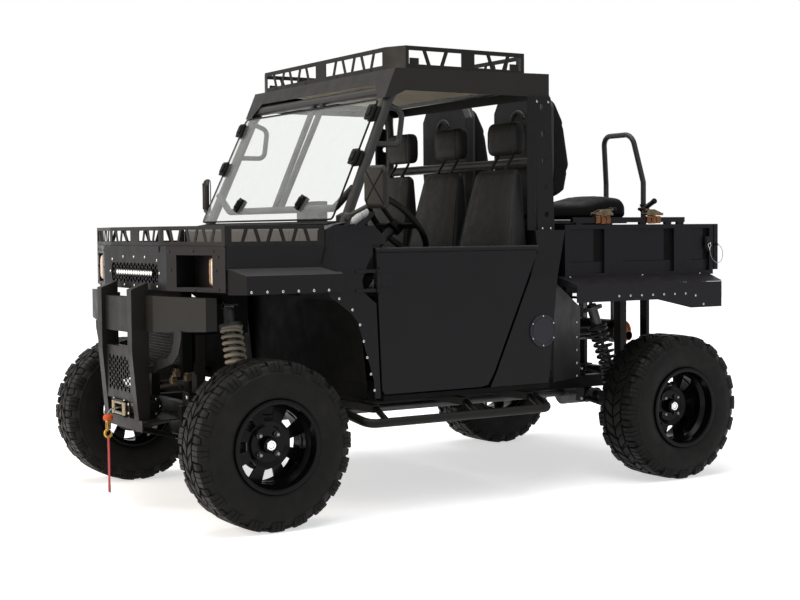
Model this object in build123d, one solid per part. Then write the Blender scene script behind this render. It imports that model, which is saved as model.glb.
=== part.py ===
"""A side by side utility vehicle with a half-door cab, racks on hood and roof, a tilting
cargo bed with two rear-facing seats, and a bull bar with a winch.

Millimetres. +Z is up, the vehicle faces -Y and its left side is +X. The origin is on the
ground, under the middle of the vehicle's length and width.
"""

import os
from math import cos, hypot, pi, sin, tan

from build123d import *

# ---- driving dimensions ----------------------------------------------------------------
TYRE_R = 343  # 27 inch tyre, out to the tips of its lugs
WHEELBASE = 2157
FRONT_AXLE_Y = -1098
REAR_AXLE_Y = FRONT_AXLE_Y + WHEELBASE
HALF_WIDTH = 850  # to the outer face of the tyres
FRONT_TYRE_W = 229
REAR_TYRE_W = 256
RIM_R = 178  # 14 inch bead seat
RIM_LIP_R = 188
HUB_BOLTS = 4
HUB_PCD = 110
KINGPIN_X = 630
STEER_ARM = 100  # kingpin to tie rod end

SHEET = 4  # folded panels
CAGE_R = 22  # roll cage tube
FRONT_Y = -1448  # face of the bull bar
REAR_Y = 1448  # end of the receiver tube

BODY_X = 714  # hood and nose half-width
SIDE_X = 760  # door and rear panel face
FLARE_X = 780
DOOR_T = 32

NOSE_Y = -1354
NOSE_FOLD_X = 357
NOSE_CORNER_Y = -1256
NOSE_BOTTOM_Z = 952
HOOD_Z = 1136
RACK_Z = 1218
COWL_Y = -804  # rear end of the hood rack

ROOF_X = 669
ROOF_FRONT_Y = -430
ROOF_REAR_Y = 390
ROOF_Z = 1883
ROOF_SKIRT_Z = 1790
ROOF_RACK_Z = 1980
VISOR_Y = -485
VISOR_Z = 1755
VISOR_EDGE_Z = 1822

BED_X = 680
BED_FRONT_Y = 471
BED_REAR_Y = 1398
TAILGATE_Y = 1404
TAILGATE_T = 26
BED_TOP_Z = 1212
BED_BOTTOM_Z = 966

RAIL_X = 250  # centre of each frame rail
RAIL_W = 50
RAIL_Z0 = 400
RAIL_Z1 = 460

FLOOR_Z = 474
DOOR_FRONT_Y = -588
DOOR_REAR_Y = 262
DOOR_TOP_Z = 1112
DOOR_BOTTOM_Z = 507


# ---- helpers ---------------------------------------------------------------------------
def block(x0, x1, y0, y1, z0, z1):
    """A box between two corners."""
    size = (x1 - x0, y1 - y0, z1 - z0)
    centre = ((x0 + x1) / 2, (y0 + y1) / 2, (z0 + z1) / 2)
    return Pos(*centre) * Box(*size)


def side_plate(x0, x1, outline):
    """A plate between two x values, from its (y, z) outline."""
    face = make_face(Polyline(*outline, close=True))
    return extrude(Plane.YZ.offset(x0) * face, amount=x1 - x0)


def plan_plate(z0, z1, outline):
    """A plate between two heights, from its (x, y) outline."""
    face = make_face(Polyline(*outline, close=True))
    return extrude(Plane.XY.offset(z0) * face, amount=z1 - z0)


def front_plate(y0, y1, outline):
    """A plate between two y values, from its (x, z) outline."""
    face = make_face(Polyline(*outline, close=True))
    return extrude(Plane.XZ.offset(-y1) * face, amount=y1 - y0)


def rod(start, end, radius):
    """A round bar between two points."""
    line = Line(start, end)
    return sweep(Plane(origin=start, z_dir=line % 0) * Circle(radius), path=line)


def tube(points, radius, bend=60):
    """A tube along a route whose corners are rounded."""
    path = FilletPolyline(*points, radius=bend) if len(points) > 2 else Line(*points)
    return sweep(Plane(origin=path @ 0, z_dir=path % 0) * Circle(radius), path=path)


def mirrored(shape):
    """The same shape on the vehicle's other side."""
    return mirror(shape, Plane.YZ)


def both(shape):
    """A shape and its mirror image, which don't touch or which join on the centre line."""
    return shape + mirrored(shape)


def fused(shapes):
    """One shape out of many."""
    whole = shapes[0]
    return whole.fuse(*shapes[1:]) if len(shapes) > 1 else whole


def panel_along(start, end, thickness, z0, z1):
    """An upright sheet whose outer face runs from start to end in plan, its inside to the left."""
    (xa, ya), (xb, yb) = start, end
    length = hypot(xb - xa, yb - ya)
    nx, ny = -(yb - ya) / length * thickness, (xb - xa) / length * thickness
    corners = [(xa, ya), (xb, yb), (xb + nx, yb + ny), (xa + nx, ya + ny)]
    return plan_plate(z0, z1, corners)


def angled_box(start, end, along, inward, heights):
    """A box set along a line in plan: along it, inwards from it, and between heights."""
    (xa, ya), (xb, yb) = start, end
    direction = Vector(xb - xa, yb - ya, 0).normalized()
    plane = Plane(origin=(xa, ya, heights[0]), x_dir=direction, z_dir=(0, 0, 1))
    size = (along[1] - along[0], inward[1] - inward[0], heights[1] - heights[0])
    centre = ((along[0] + along[1]) / 2, (inward[0] + inward[1]) / 2, size[2] / 2)
    return plane * Pos(*centre) * Box(*size)


def wall_loop(outline, z0, z1):
    """An upright sheet wall that follows the inside of a plan outline."""
    face = make_face(Polyline(*outline, close=True))
    return extrude(Plane.XY.offset(z0) * (face - offset(face, amount=-SHEET)), amount=z1 - z0)


def skewed_sheet(points, thickness=SHEET):
    """A flat facet through points in space, thickened towards -x."""
    face = Face(Wire.make_polygon([Vector(*p) for p in points], close=True))
    return Solid.extrude(face, Vector(-thickness, 0, 0))


def wall_cutter(start, end, outline, reach=20):
    """A cutter through an upright wall: outline is (distance along the wall, height)."""
    (xa, ya), (xb, yb) = start, end
    along = Vector(xb - xa, yb - ya, 0).normalized()
    plane = Plane(origin=(xa, ya, 0), x_dir=along, z_dir=along.cross(Vector(0, 0, 1)))
    face = make_face(Polyline(*outline, close=True))
    return extrude(plane * face, amount=reach, both=True)


def truss_cutters(start, end, z0, z1, bays, first=0, last=0, wide_top=True, web=11):
    """Alternate trapezia between two rails, with plain lengths at the wall's first and last end."""
    length = hypot(end[0] - start[0], end[1] - start[1])
    pitch = (length - first - last) / bays
    lean = pitch * 0.26
    cutters = []
    for i in range(bays):
        left, right = first + i * pitch + web / 2, first + (i + 1) * pitch - web / 2
        narrow = [(left + lean, z0), (right - lean, z0), (right, z1), (left, z1)]
        wide = [(left, z0), (right, z0), (right - lean, z1), (left + lean, z1)]
        cutters.append(wall_cutter(start, end, narrow if (i % 2 == 0) == wide_top else wide))
    return cutters


def honeycomb(columns, rows, pitch, flat, centre, depth):
    """Hexagonal cutters along y, in staggered columns about a centre (x, y, z)."""
    corners = [(cos(i * pi / 3) * flat / 3 ** 0.5, sin(i * pi / 3) * flat / 3 ** 0.5) for i in range(6)]
    cell = make_face(Polyline(*corners, close=True))
    places = []
    for column in range(columns):
        across = (column - (columns - 1) / 2) * pitch * cos(pi / 6)
        stagger = (column % 2) / 2
        for row in range(rows - column % 2):
            places.append(Pos(across, (row + stagger - (rows - 1) / 2) * pitch))
    cells = Sketch() + [place * cell for place in places]
    x, y, z = centre
    plane = Plane(origin=(x, y, z), x_dir=(1, 0, 0), z_dir=(0, -1, 0))
    return extrude(plane * cells, amount=depth, both=True)


def cord(points, radius):
    """A cord of straight runs joined by arcs, each as wide as its shorter run allows."""
    corners = [Vector(*p) for p in points]
    bends = []
    for before, here, after in zip(corners, corners[1:], corners[2:]):
        turn = (here - before).get_angle(after - here) * pi / 180
        shorter = min((here - before).length, (after - here).length)
        bends.append(0.45 * shorter / tan(turn / 2))
    print("cord of radius", radius, "bends at radii", [round(bend, 1) for bend in bends])
    path = FilletPolyline(*points, radius=bends)
    return sweep(Plane(origin=path @ 0, z_dir=path % 0) * Circle(radius), path=path)


# ---- wheels ----------------------------------------------------------------------------
LUGS = 14  # round each half of the tread
LUG_SHARE = 0.62  # of the pitch
LUG_DEPTH = 14
LUG_TURN = 0.25  # each half of the tread is turned this share of a pitch, one each way
LUG_TIP_R = TYRE_R / cos((LUG_SHARE / 2 - LUG_TURN) * 2 * pi / LUGS)  # so the lowest edge is at z 0


def polygon_ring(x, radius, sides):
    """The corners of an upright polygon about the X axis."""
    turns = [2 * pi * i / sides for i in range(sides)]
    return [(x, radius * cos(a), radius * sin(a)) for a in turns]


def lug_ring(x, drop, turn):
    """The corners of a cog about the X axis: lugs between grooves, drop lower than the tread."""
    pitch = 2 * pi / LUGS
    half = LUG_SHARE / 2
    tip, root = LUG_TIP_R - drop, TYRE_R - LUG_DEPTH - drop * 0.6
    points = []
    for i in range(LUGS):
        for share, radius in ((-half, tip), (half, tip), (half, root), (1 - half, root)):
            angle = (i + turn + share) * pitch
            points.append((x, radius * cos(angle), radius * sin(angle)))
    return points


def faceted(rings, twisted=False):
    """A flat-faced solid through rings of corners; twisted ones get two facets a side."""
    outlines = [rings[0], rings[-1]]
    for near, far in zip(rings, rings[1:]):
        for i in range(len(near)):
            corners = [near[i - 1], near[i], far[i], far[i - 1]]
            outlines += [corners[:3], [corners[0], *corners[2:]]] if twisted else [corners]
    return Solid(Shell([Face(Wire.make_polygon(outline)) for outline in outlines]))


def tyre(width):
    """A lugged tyre about the X axis, its outer face at x = 0 and its body towards -x."""
    half = width / 2
    sides = 20
    seat = RIM_R / cos(pi / sides) + 0.3
    outside = [(half - 20, seat), (half, 262), (half - 9, 316)]
    inside = [(half - 34, seat - 8), (half - 22, 306)]
    carcass = []
    for profile, count in ((outside, sides), (inside, 12)):
        stations = profile + [(-x, r) for x, r in reversed(profile)]
        carcass.append(faceted([polygon_ring(x, r, count) for x, r in stations]))
    bore = faceted([polygon_ring(x, seat, sides) for x in (half + 1, -half - 1)])
    tread = []
    for way in (-1, 1):
        turn = way * LUG_TURN
        stations = ((0, 0), (way * (half - 24), 0), (way * (half - 6), 26))
        tread.append(faceted([lug_ring(x, drop, turn) for x, drop in stations]))
    return Pos(-half, 0, 0) * (carcass[0].fuse(*tread) - carcass[1] - bore)


def rim(width, dish):
    """A deep-dish disc wheel about the X axis, its outer lip at x = 0, with hub and brake disc."""
    back = -(width - 2 * 18)
    face_x = -dish
    barrel = [
        (0, RIM_LIP_R), (-8, RIM_LIP_R), (-12, RIM_R - 0.5), (-40, RIM_R - 0.5), (-60, RIM_R - 16),
        (back + 30, RIM_R - 16), (back + 12, RIM_R - 0.5), (back + 8, RIM_LIP_R), (back, RIM_LIP_R),
        (back, RIM_R - 8), (back + 26, RIM_R - 24), (-62, RIM_R - 24), (-42, RIM_R - 10), (0, RIM_R - 8),
    ]
    shell = revolve(Plane.XY * make_face(Polyline(*barrel, close=True)), axis=Axis.X)
    disc = [
        (face_x, 0), (face_x, 72), (face_x + 10, 92), (face_x + 2, RIM_R - 20),
        (face_x - 8, RIM_R - 20), (face_x, 92), (face_x - 10, 72), (face_x - 10, 0),
    ]
    centre = revolve(Plane.XY * make_face(Polyline(*disc, close=True)), axis=Axis.X)
    window_face = make_face(
        Polyline((-17, 96), (17, 96), (30, RIM_R - 28), (-30, RIM_R - 28), close=True)
    )
    windows = [
        Rot(X=i * 45) * extrude(Plane.YZ.offset(face_x - 20) * window_face, amount=50)
        for i in range(8)
    ]
    centre = centre - fused(windows)
    nuts = [
        Rot(X=i * 90 + 45) * Pos(face_x + 8, HUB_PCD / 2, 0) * Rot(Y=90) * Cylinder(10, 16)
        for i in range(HUB_BOLTS)
    ]
    cap = Pos(face_x + 14, 0, 0) * Rot(Y=90) * Cylinder(30, 28)
    brake = Pos(face_x - 44, 0, 0) * Rot(Y=90) * Cylinder(110, 6)
    hub = Pos(face_x - 28.5, 0, 0) * Rot(Y=90) * Cylinder(52, 37)
    return fused([shell, centre, cap, brake, hub] + nuts)


FRONT_DISH = 96
REAR_DISH = 108


def wheel_set():
    """Tyres and rims at their four places, by node name."""
    placed = {}
    table = [  # name, axle y, tyre width, dish
        ("front", FRONT_AXLE_Y, FRONT_TYRE_W, FRONT_DISH),
        ("rear", REAR_AXLE_Y, REAR_TYRE_W, REAR_DISH),
    ]
    for end, y, width, dish in table:
        place = Pos(HALF_WIDTH, y, TYRE_R)
        left_tyre = place * tyre(width)
        left_rim = place * Pos(-4, 0, 0) * rim(width, dish) - left_tyre
        placed[end + "_left_tyre"] = left_tyre
        placed[end + "_left_rim"] = left_rim
        placed[end + "_right_tyre"] = mirrored(left_tyre)
        placed[end + "_right_rim"] = mirrored(left_rim)
    return placed


# ---- chassis ---------------------------------------------------------------------------
ARM_X = 294  # inboard pivots of the suspension arms
LOWER_ARM_Z = 350
UPPER_ARM_Z = 500
TOWER_TOP_Z = 893
BED_HINGE_Y = 1370
BED_HINGE_Z = 940
BED_PIN_R = 10


RAIL_IN, RAIL_OUT = RAIL_X - RAIL_W / 2, RAIL_X + RAIL_W / 2
OUTRIGGER_Y = (-560, -100, 250)


def frame_rails():
    """The two straight rails of the ladder frame."""
    return both(block(RAIL_IN, RAIL_OUT, -1262, 1380, RAIL_Z0, RAIL_Z1))


def cross_members():
    """Cross members between the rails and the towers, and the outriggers under the cab."""
    members = []
    for y in (-1170, -860, -300, 300, 860, 1350):
        members.append(block(-RAIL_IN, RAIL_IN, y - 20, y + 20, 405, 455))
    members.append(block(-RAIL_IN, RAIL_IN, -1110, -1070, TOWER_TOP_Z - 22, TOWER_TOP_Z - 4))
    members.append(block(-RAIL_IN, RAIL_IN, 1325, 1345, 910, 945))
    members.append(block(-RAIL_IN, RAIL_IN, -1010, -986, 404, 424))
    for y in OUTRIGGER_Y:
        members.append(both(block(RAIL_OUT, 700, y - 18, y + 18, 425, 458)))
    return fused(members)


def receiver():
    """The square hitch receiver tube, with a cross hole for its pin."""
    tube_end = block(-32, 32, 1370, REAR_Y, 398, 462)
    tube_end -= block(-25.4, 25.4, 1376, REAR_Y + 1, 405, 455)
    return tube_end - Pos(0, 1418, 430) * Rot(Y=90) * Cylinder(8, 80)


def shock_towers():
    """Posts on the rails with the shock plates, the bed supports and hinge lugs, and arm brackets."""
    side = []
    for y in (-1170, -990, 820, 1170):
        side.append(block(RAIL_IN, RAIL_OUT, y - 20, y + 20, RAIL_Z1, TOWER_TOP_Z - 20))
    side.append(block(RAIL_IN, RAIL_OUT, -1190, -970, TOWER_TOP_Z - 20, TOWER_TOP_Z))
    side.append(block(RAIL_IN, RAIL_OUT, 800, 1345, TOWER_TOP_Z - 20, 950))
    side.append(block(RAIL_IN, RAIL_OUT, 1325, 1345, RAIL_Z1, TOWER_TOP_Z - 20))
    side.append(block(RAIL_IN, 430, -1130, -1066, TOWER_TOP_Z - 8, TOWER_TOP_Z))
    side.append(block(RAIL_IN, 450, 800, 870, 850, 858))
    side.append(block(RAIL_IN, RAIL_OUT, 1345, 1395, 893, 905))
    lug_x = 262
    hinge_eye = Pos((lug_x + RAIL_OUT) / 2, BED_HINGE_Y, BED_HINGE_Z) * Rot(Y=90)
    hinge_lug = block(lug_x, RAIL_OUT, BED_HINGE_Y - 20, BED_HINGE_Y + 20, 905, BED_HINGE_Z)
    hinge_lug += hinge_eye * Cylinder(20, RAIL_OUT - lug_x)
    side.append(hinge_lug - hinge_eye * Cylinder(BED_PIN_R + 0.5, 60))
    for axle, spread in ((FRONT_AXLE_Y, 120), (REAR_AXLE_Y, 150)):
        for way in (-1, 1):
            y = axle + way * (spread + 22)
            side.append(block(RAIL_IN + 20, ARM_X + 16, y - 4, y + 4, LOWER_ARM_Z - 18, RAIL_Z0))
            side.append(block(RAIL_IN + 20, ARM_X + 16, y - 4, y + 4, RAIL_Z1, UPPER_ARM_Z + 18))
    return both(fused(side))


def arm(axle, spread, inner_z, ball_x, ball_z, radius=13):
    """An A-shaped suspension arm from two bushes to a bored boss under or over the knuckle."""
    legs = []
    for way in (-1, 1):
        y = axle + way * spread
        bush = Pos(ARM_X, y, inner_z) * Rot(X=90) * Cylinder(17, 34)
        legs += [bush, rod((ARM_X, y, inner_z), (ball_x, axle, ball_z), radius)]
    boss = Pos(ball_x, axle, ball_z) * Cylinder(21, 28)
    return fused(legs + [boss])


KNUCKLE_Z = (276, 412)
BALL_LOW_Z = 256
BALL_HIGH_Z = 432
BALL_PIN_R = 8
REAR_BALL_X = 606


def suspension_arms():
    """Both pairs of A-arms at each end; the rear ones carry the hub carriers."""
    bore = Pos(KINGPIN_X, FRONT_AXLE_Y, 350) * Cylinder(BALL_PIN_R + 0.5, 400)
    seat = block(500, 560, FRONT_AXLE_Y - 45, FRONT_AXLE_Y + 45, 464, 472)
    upper = arm(FRONT_AXLE_Y, 120, UPPER_ARM_Z, KINGPIN_X, BALL_HIGH_Z) + seat
    lower = arm(FRONT_AXLE_Y, 120, LOWER_ARM_Z, KINGPIN_X, BALL_LOW_Z)
    front = fused([upper - bore, lower - bore])
    rear_upper = arm(REAR_AXLE_Y, 150, UPPER_ARM_Z, REAR_BALL_X, BALL_HIGH_Z)
    rear_lower = arm(REAR_AXLE_Y, 150, LOWER_ARM_Z, REAR_BALL_X, BALL_LOW_Z)
    shock_seat = block(470, 530, 930, 1000, 300, 308)
    carrier = block(REAR_BALL_X - 10, REAR_BALL_X + 26, REAR_AXLE_Y - 26, REAR_AXLE_Y + 26, 262, 426)
    hub = Pos(650, REAR_AXLE_Y, TYRE_R) * Rot(Y=90) * Cylinder(48, 76)
    rear = fused([rear_upper, rear_lower, shock_seat, carrier, hub])
    return [both(front), both(rear)]


def knuckle():
    """The left steering knuckle, with its ball pins and steering arm."""
    z0, z1 = KNUCKLE_Z
    y = FRONT_AXLE_Y
    upright = block(KINGPIN_X - 12, KINGPIN_X + 26, y - 24, y + 24, z0, z1)
    hub = Pos((622 + 698) / 2, y, TYRE_R) * Rot(Y=90) * Cylinder(46, 76)
    ears = [Pos(KINGPIN_X, y, z) * Cylinder(20, 24) for z in (z0 + 12, z1 - 12)]
    pins = [
        Pos(KINGPIN_X, y, (z0 + BALL_LOW_Z) / 2 - 6) * Cylinder(BALL_PIN_R, z0 - BALL_LOW_Z + 16),
        Pos(KINGPIN_X, y, (z1 + BALL_HIGH_Z) / 2 + 6) * Cylinder(BALL_PIN_R, BALL_HIGH_Z - z1 + 16),
    ]
    steer = block(KINGPIN_X - 12, KINGPIN_X + 12, y + 10, y + STEER_ARM, 358, 370)
    eye = Pos(KINGPIN_X, y + STEER_ARM, 364) * Cylinder(14, 12)
    return fused([upright, hub, steer, eye] + ears + pins)


TIE_Z = 385


def steering_rack():
    """The sliding rack bar with both tie rods, one piece that moves sideways."""
    y = FRONT_AXLE_Y + STEER_ARM
    bar = rod((-KINGPIN_X + 5, y, TIE_Z), (KINGPIN_X - 5, y, TIE_Z), 7)
    boots = [Pos(side * 350, y, TIE_Z) * Rot(Y=90) * Cylinder(14, 110) for side in (-1, 1)]
    eyes = [Pos(side * KINGPIN_X, y, TIE_Z) * Cylinder(14, 16) for side in (-1, 1)]
    return fused([bar] + boots + eyes)


def rack_housing():
    y = FRONT_AXLE_Y + STEER_ARM
    housing = Pos(0, y, TIE_Z) * Rot(Y=90) * Cylinder(19, 300)
    return housing - Pos(0, y, TIE_Z) * Rot(Y=90) * Cylinder(9, 320)


def driveline():
    """Differentials with their half-shafts, the propeller shaft and the steering rack's housing."""
    pieces = []
    for axle, reach in ((FRONT_AXLE_Y, 590), (REAR_AXLE_Y, REAR_BALL_X - 10)):
        case = Pos(0, axle - 8, TYRE_R) * Rot(X=90) * Cylinder(60, 130)
        for side in (-1, 1):
            shaft = Pos(side * reach / 2, axle, TYRE_R) * Rot(Y=90) * Cylinder(12, reach)
            boot = Pos(side * 150, axle, TYRE_R) * Rot(Y=90) * Cone(26, 40, 90)
            outer = Pos(side * (reach - 45), axle, TYRE_R) * Rot(Y=90) * Cylinder(32, 90)
            pieces += [shaft, boot, outer]
        pieces.append(case)
    prop = rod((0, FRONT_AXLE_Y + 50, TYRE_R), (0, REAR_AXLE_Y - 70, TYRE_R), 18)
    return fused(pieces + [prop]) + rack_housing()


SHOCKS = [  # lower eye, upper eye, shares of the length at the spring's two seats, body and rod
    ((530, FRONT_AXLE_Y, 472), (395, FRONT_AXLE_Y, TOWER_TOP_Z - 8), (0.19, 0.78), (0.44, 0.97), (0.03, 0.5)),
    ((500, 965, 308), (412, 835, 850), (0.33, 0.90), (0.03, 0.56), (0.5, 0.97)),
]
SPRING_R = 41  # centre of the wire
SPRING_WIRE_R = 7
SPRING_TURNS = 8
SPRING_STEPS = 12  # facets in one turn


def coil(start, end):
    """A helical spring of six-sided wire between two points, made of flat facets."""
    run = Vector(*end) - Vector(*start)
    steps = SPRING_TURNS * SPRING_STEPS
    rise = (run.length - 2 * SPRING_WIRE_R) / steps
    rings = []
    for step in range(steps + 1):
        way = 2 * pi * step / SPRING_STEPS
        ring = []
        for side in range(6):
            turn = side * pi / 3
            radius = SPRING_R + SPRING_WIRE_R * cos(turn)
            height = SPRING_WIRE_R * (1 + sin(turn)) + rise * step
            ring.append((radius * cos(way), radius * sin(way), height))
        rings.append(ring)
    return Plane(origin=start, z_dir=run) * faceted(rings, twisted=True)


def shock_parts():
    """Dampers and the coil springs round them, for all four corners."""
    dampers, springs = [], []
    for low, high, seats, body, shaft in SHOCKS:
        a, b = Vector(*low), Vector(*high)

        def at(share, a=a, b=b):
            return tuple(a + (b - a) * share)

        tube_and_rod = [rod(at(body[0]), at(body[1]), 21), rod(at(shaft[0]), at(shaft[1]), 9)]
        low_seat = rod(at(seats[0] - 0.03), at(seats[0]), 50)
        high_seat = rod(at(seats[1]), at(seats[1] + 0.03), 50)
        dampers.append(fused(tube_and_rod + [low_seat, high_seat]))
        springs.append(coil(at(seats[0] + 0.001), at(seats[1] - 0.001)))
    return [both(fused(dampers)), both(fused(springs))]


def side_steps():
    """A bent step tube under each door on three brackets."""
    step = tube([(640, -690, 430), (800, -655, 395), (800, 283, 395), (640, 318, 430)], 19, 50)
    hangers = [rod((701, y, 441), (785, y, 400), 13) for y in OUTRIGGER_Y]
    return both(fused([step] + hangers))


# ---- power unit ------------------------------------------------------------------------
def engine():
    return block(-205, 205, 400, 790, 462, 850)


def muffler():
    """A round silencer across the tail with its outlet pipe to the left."""
    can = Pos(-20, 1250, 660) * Rot(Y=90) * Cylinder(58, 380)
    outlet = Pos(190, 1250, 641) * Rot(Y=90) * (Cylinder(24, 60) - Cylinder(21, 62))
    inlet = rod((0, 792, 640), (0, 1200, 660), 20)
    return fused([can, outlet, inlet])


# ---- front end -------------------------------------------------------------------------
UPRIGHT_X = (150, 200)
WING_TOP_Z = 930


def bull_bar():
    """Two plate-box uprights, a cross plate, a pierced guard plate, a skid and the side wings."""
    upright = side_plate(
        *UPRIGHT_X,
        [(FRONT_Y, 955), (-1372, 984), (-1372, 404), (-1423, 404), (FRONT_Y, 690)],
    )
    wing_outline = [
        (200, -1387), (287, -1387), (644, -1310), (644, -1262), (600, -1262), (280, -1342), (200, -1342),
    ]
    hollow_outline = [(204, -1383), (286, -1383), (640, -1306), (640, -1200), (204, -1300)]
    wing = plan_plate(774, WING_TOP_Z, wing_outline)
    wing -= front_plate(-1500, -1200, [(200, 760), (650, 760), (650, 797), (290, 779), (200, 779)])
    wing -= plan_plate(700, WING_TOP_Z - SHEET, hollow_outline)
    brace = front_plate(
        -1352, -1346,
        [(195, 600), (241, 618), (400, 655), (462, 700), (488, 756), (492, 792),
         (418, 792), (412, 748), (385, 700), (345, 674), (195, 657)],
    )
    stays = [
        block(172, 200, -1372, -1198, 600, 630),
        block(172, 275, -1198, -1190, 590, 640),
        block(232, 262, -1384, -1190, 850, 872),
    ]
    near = fused([upright, wing, brace] + stays)
    cross = block(-150, 150, -1430, -1425, 772, 920) + block(-150, 150, -1430, -1390, 916, 921)
    guard = block(-150, 150, -1428, -1423, 478, 706)
    guard -= honeycomb(11, 6, 26, 21, (0, -1425, 590), 10)
    guard += block(-150, 150, -1428, -1390, 702, 707)
    skid = side_plate(
        -224, 224,
        [(-1418, 404), (-1418, 356), (-1180, 300), (-1180, 306), (-1412, 361), (-1412, 398),
         (-1190, 398), (-1190, 404)],
    )
    return fused([near, mirrored(near), cross, guard, skid])


def winch():
    """A drum between two end housings on the skid shelf, with a four-roller fairlead in front."""
    drum = Pos(0, -1340, 452) * Rot(Y=90) * Cylinder(34, 160)
    ends = [Pos(side * 110, -1340, 452) * Rot(Y=90) * Cylinder(47, 70) for side in (-1, 1)]
    foot = block(-120, 120, -1372, -1308, 404.2, 430)
    plate = block(-95, 95, -1423, -1417, 404.2, 478) - block(-52, 52, -1430, -1410, 424, 458)
    posts = [Pos(x, -1431, 441) * Cylinder(9, 70) for x in (-60, 60)]
    bars = [Pos(0, -1431, z) * Rot(Y=90) * Cylinder(6, 118) for z in (418, 464)]
    caps = [block(-72, 72, -1439, -1417, z, z + 5) for z in (405, 472)]
    fairlead = fused([plate] + posts + bars + caps)
    ties = [block(x - 6, x + 6, -1417, -1372, 412, 424) for x in (-80, 80)]
    return fused([drum, foot, fairlead] + ends + ties)


ROPE_R = 4
ROPE_ROUTE = [(0, -1374, 446), (0, -1412, 443), (0, -1448, 441), (0, -1477, 435), (0, -1483, 415.5)]
HOOK_Y = ROPE_ROUTE[-1][1]


def winch_rope():
    """The short bare rope from the drum through the fairlead, down to its stopper."""
    return cord(ROPE_ROUTE, ROPE_R)


def winch_hook():
    """A rubber stopper with the hook that hangs under it."""
    stopper = Pos(0, HOOK_Y, 402) * Cylinder(20, 24)
    shank = Pos(0, HOOK_Y, 372) * Cylinder(7, 36)
    bow = Pos(0, HOOK_Y, 338) * Rot(Y=90) * Torus(16, 6)
    return fused([stopper, shank, bow])


STRAP_W = 25
STRAP_T = 4
STRAP_END_Z = 78


def pull_strap():
    """A webbing strap that hangs from the hook."""
    return block(-STRAP_W / 2, STRAP_W / 2, HOOK_Y - 2, HOOK_Y - 2 + STRAP_T, STRAP_END_Z, 315)


GRILLE_X = 267
GRILLE_Z = (979, 1063)
RECESS_ALONG = (65, 292)  # along the nose's angled side
RECESS_Z = (968, 1100)
RECESS_DEPTH = 100


def nose_panel():
    """The folded front panel with a grille opening and two deep headlamp recesses."""
    centre = (NOSE_FOLD_X, NOSE_Y)
    corner = (BODY_X, NOSE_CORNER_Y)
    heights = (NOSE_BOTTOM_Z, HOOD_Z - SHEET)
    front = block(-NOSE_FOLD_X, NOSE_FOLD_X, NOSE_Y, NOSE_Y + SHEET, *heights)
    opening = block(-GRILLE_X, GRILLE_X, NOSE_Y - 5, NOSE_Y + 10, *GRILLE_Z)
    front -= fillet(opening.edges().filter_by(Axis.Y), 22)
    wall = 3
    around = ((RECESS_ALONG[0] - wall, RECESS_ALONG[1] + wall), (0, RECESS_DEPTH + wall))
    within = (RECESS_ALONG, (-5, RECESS_DEPTH))
    recess = angled_box(centre, corner, *around, (RECESS_Z[0] - wall, RECESS_Z[1] + wall))
    recess -= angled_box(centre, corner, *within, RECESS_Z)
    angled = angled_box(centre, corner, (0, 371), (0, SHEET), heights)
    angled -= angled_box(centre, corner, RECESS_ALONG, (-5, 20), RECESS_Z)
    lip = plan_plate(
        NOSE_BOTTOM_Z, NOSE_BOTTOM_Z + SHEET,
        [(0, NOSE_Y), centre, (BODY_X - 6, NOSE_CORNER_Y - 1.6), (BODY_X - 6, -1225), (0, -1325)],
    )
    side = fused([angled, recess, lip])
    return fused([front, side, mirrored(side)])


def headlamps():
    """An upright lamp down the outboard end of each recess, with a bowed lens."""
    lens = angled_box((NOSE_FOLD_X, NOSE_Y), (BODY_X, NOSE_CORNER_Y), (244, 291.7), (8, 70), (974, 1094))
    upright = lens.edges().filter_by(Axis.Z)
    front = upright.sort_by(Axis.Y)[0:1]
    lens = fillet(front, 24)
    return both(lens)


def grille_mesh():
    """The honeycomb sheet behind the opening; every cell is open."""
    sheet = block(-300, 300, NOSE_Y + SHEET, NOSE_Y + SHEET + 2, 962, 1080)
    return sheet - honeycomb(25, 4, 24, 19.5, (0, NOSE_Y + SHEET + 1, 1021), 6)


def light_bar():
    """A lit bar across the middle of the grille, with rounded ends."""
    bar = block(-216, 216, NOSE_Y - 6, NOSE_Y + SHEET - 0.2, 1008, 1036)
    return fillet(bar.edges().filter_by(Axis.Y), 8)


RACK_FOLD_X = 285
RACK_FRONT_Y = -1350
RACK_PLATE_X = 48  # half-width of the plain plate amid the rack's front


def hood():
    """Hood skin: a flat tray under the rack, then the cowl that rises to the windshield."""
    profile = [
        (NOSE_Y, HOOD_Z - SHEET), (COWL_Y, HOOD_Z - SHEET), (COWL_Y, 1194), (-757, 1214),
        (-700, 1226), (-700, 1230), (-759, 1219), (COWL_Y - 4, 1198), (COWL_Y - 4, HOOD_Z), (NOSE_Y, HOOD_Z),
    ]
    skin = side_plate(-BODY_X + SHEET, BODY_X - SHEET, profile)
    trim = plan_plate(
        1100, 1300,
        [(-NOSE_FOLD_X, NOSE_Y), (NOSE_FOLD_X, NOSE_Y), (BODY_X, NOSE_CORNER_Y), (BODY_X, 0),
         (-BODY_X, 0), (-BODY_X, NOSE_CORNER_Y)],
    )
    lip = block(-RACK_FOLD_X, RACK_FOLD_X, NOSE_Y - 3, NOSE_Y, 1112, HOOD_Z)
    tray = block(-660, 660, -1215, -830, HOOD_Z, HOOD_Z + 3)
    return fused([skin & trim, lip, tray])


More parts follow.
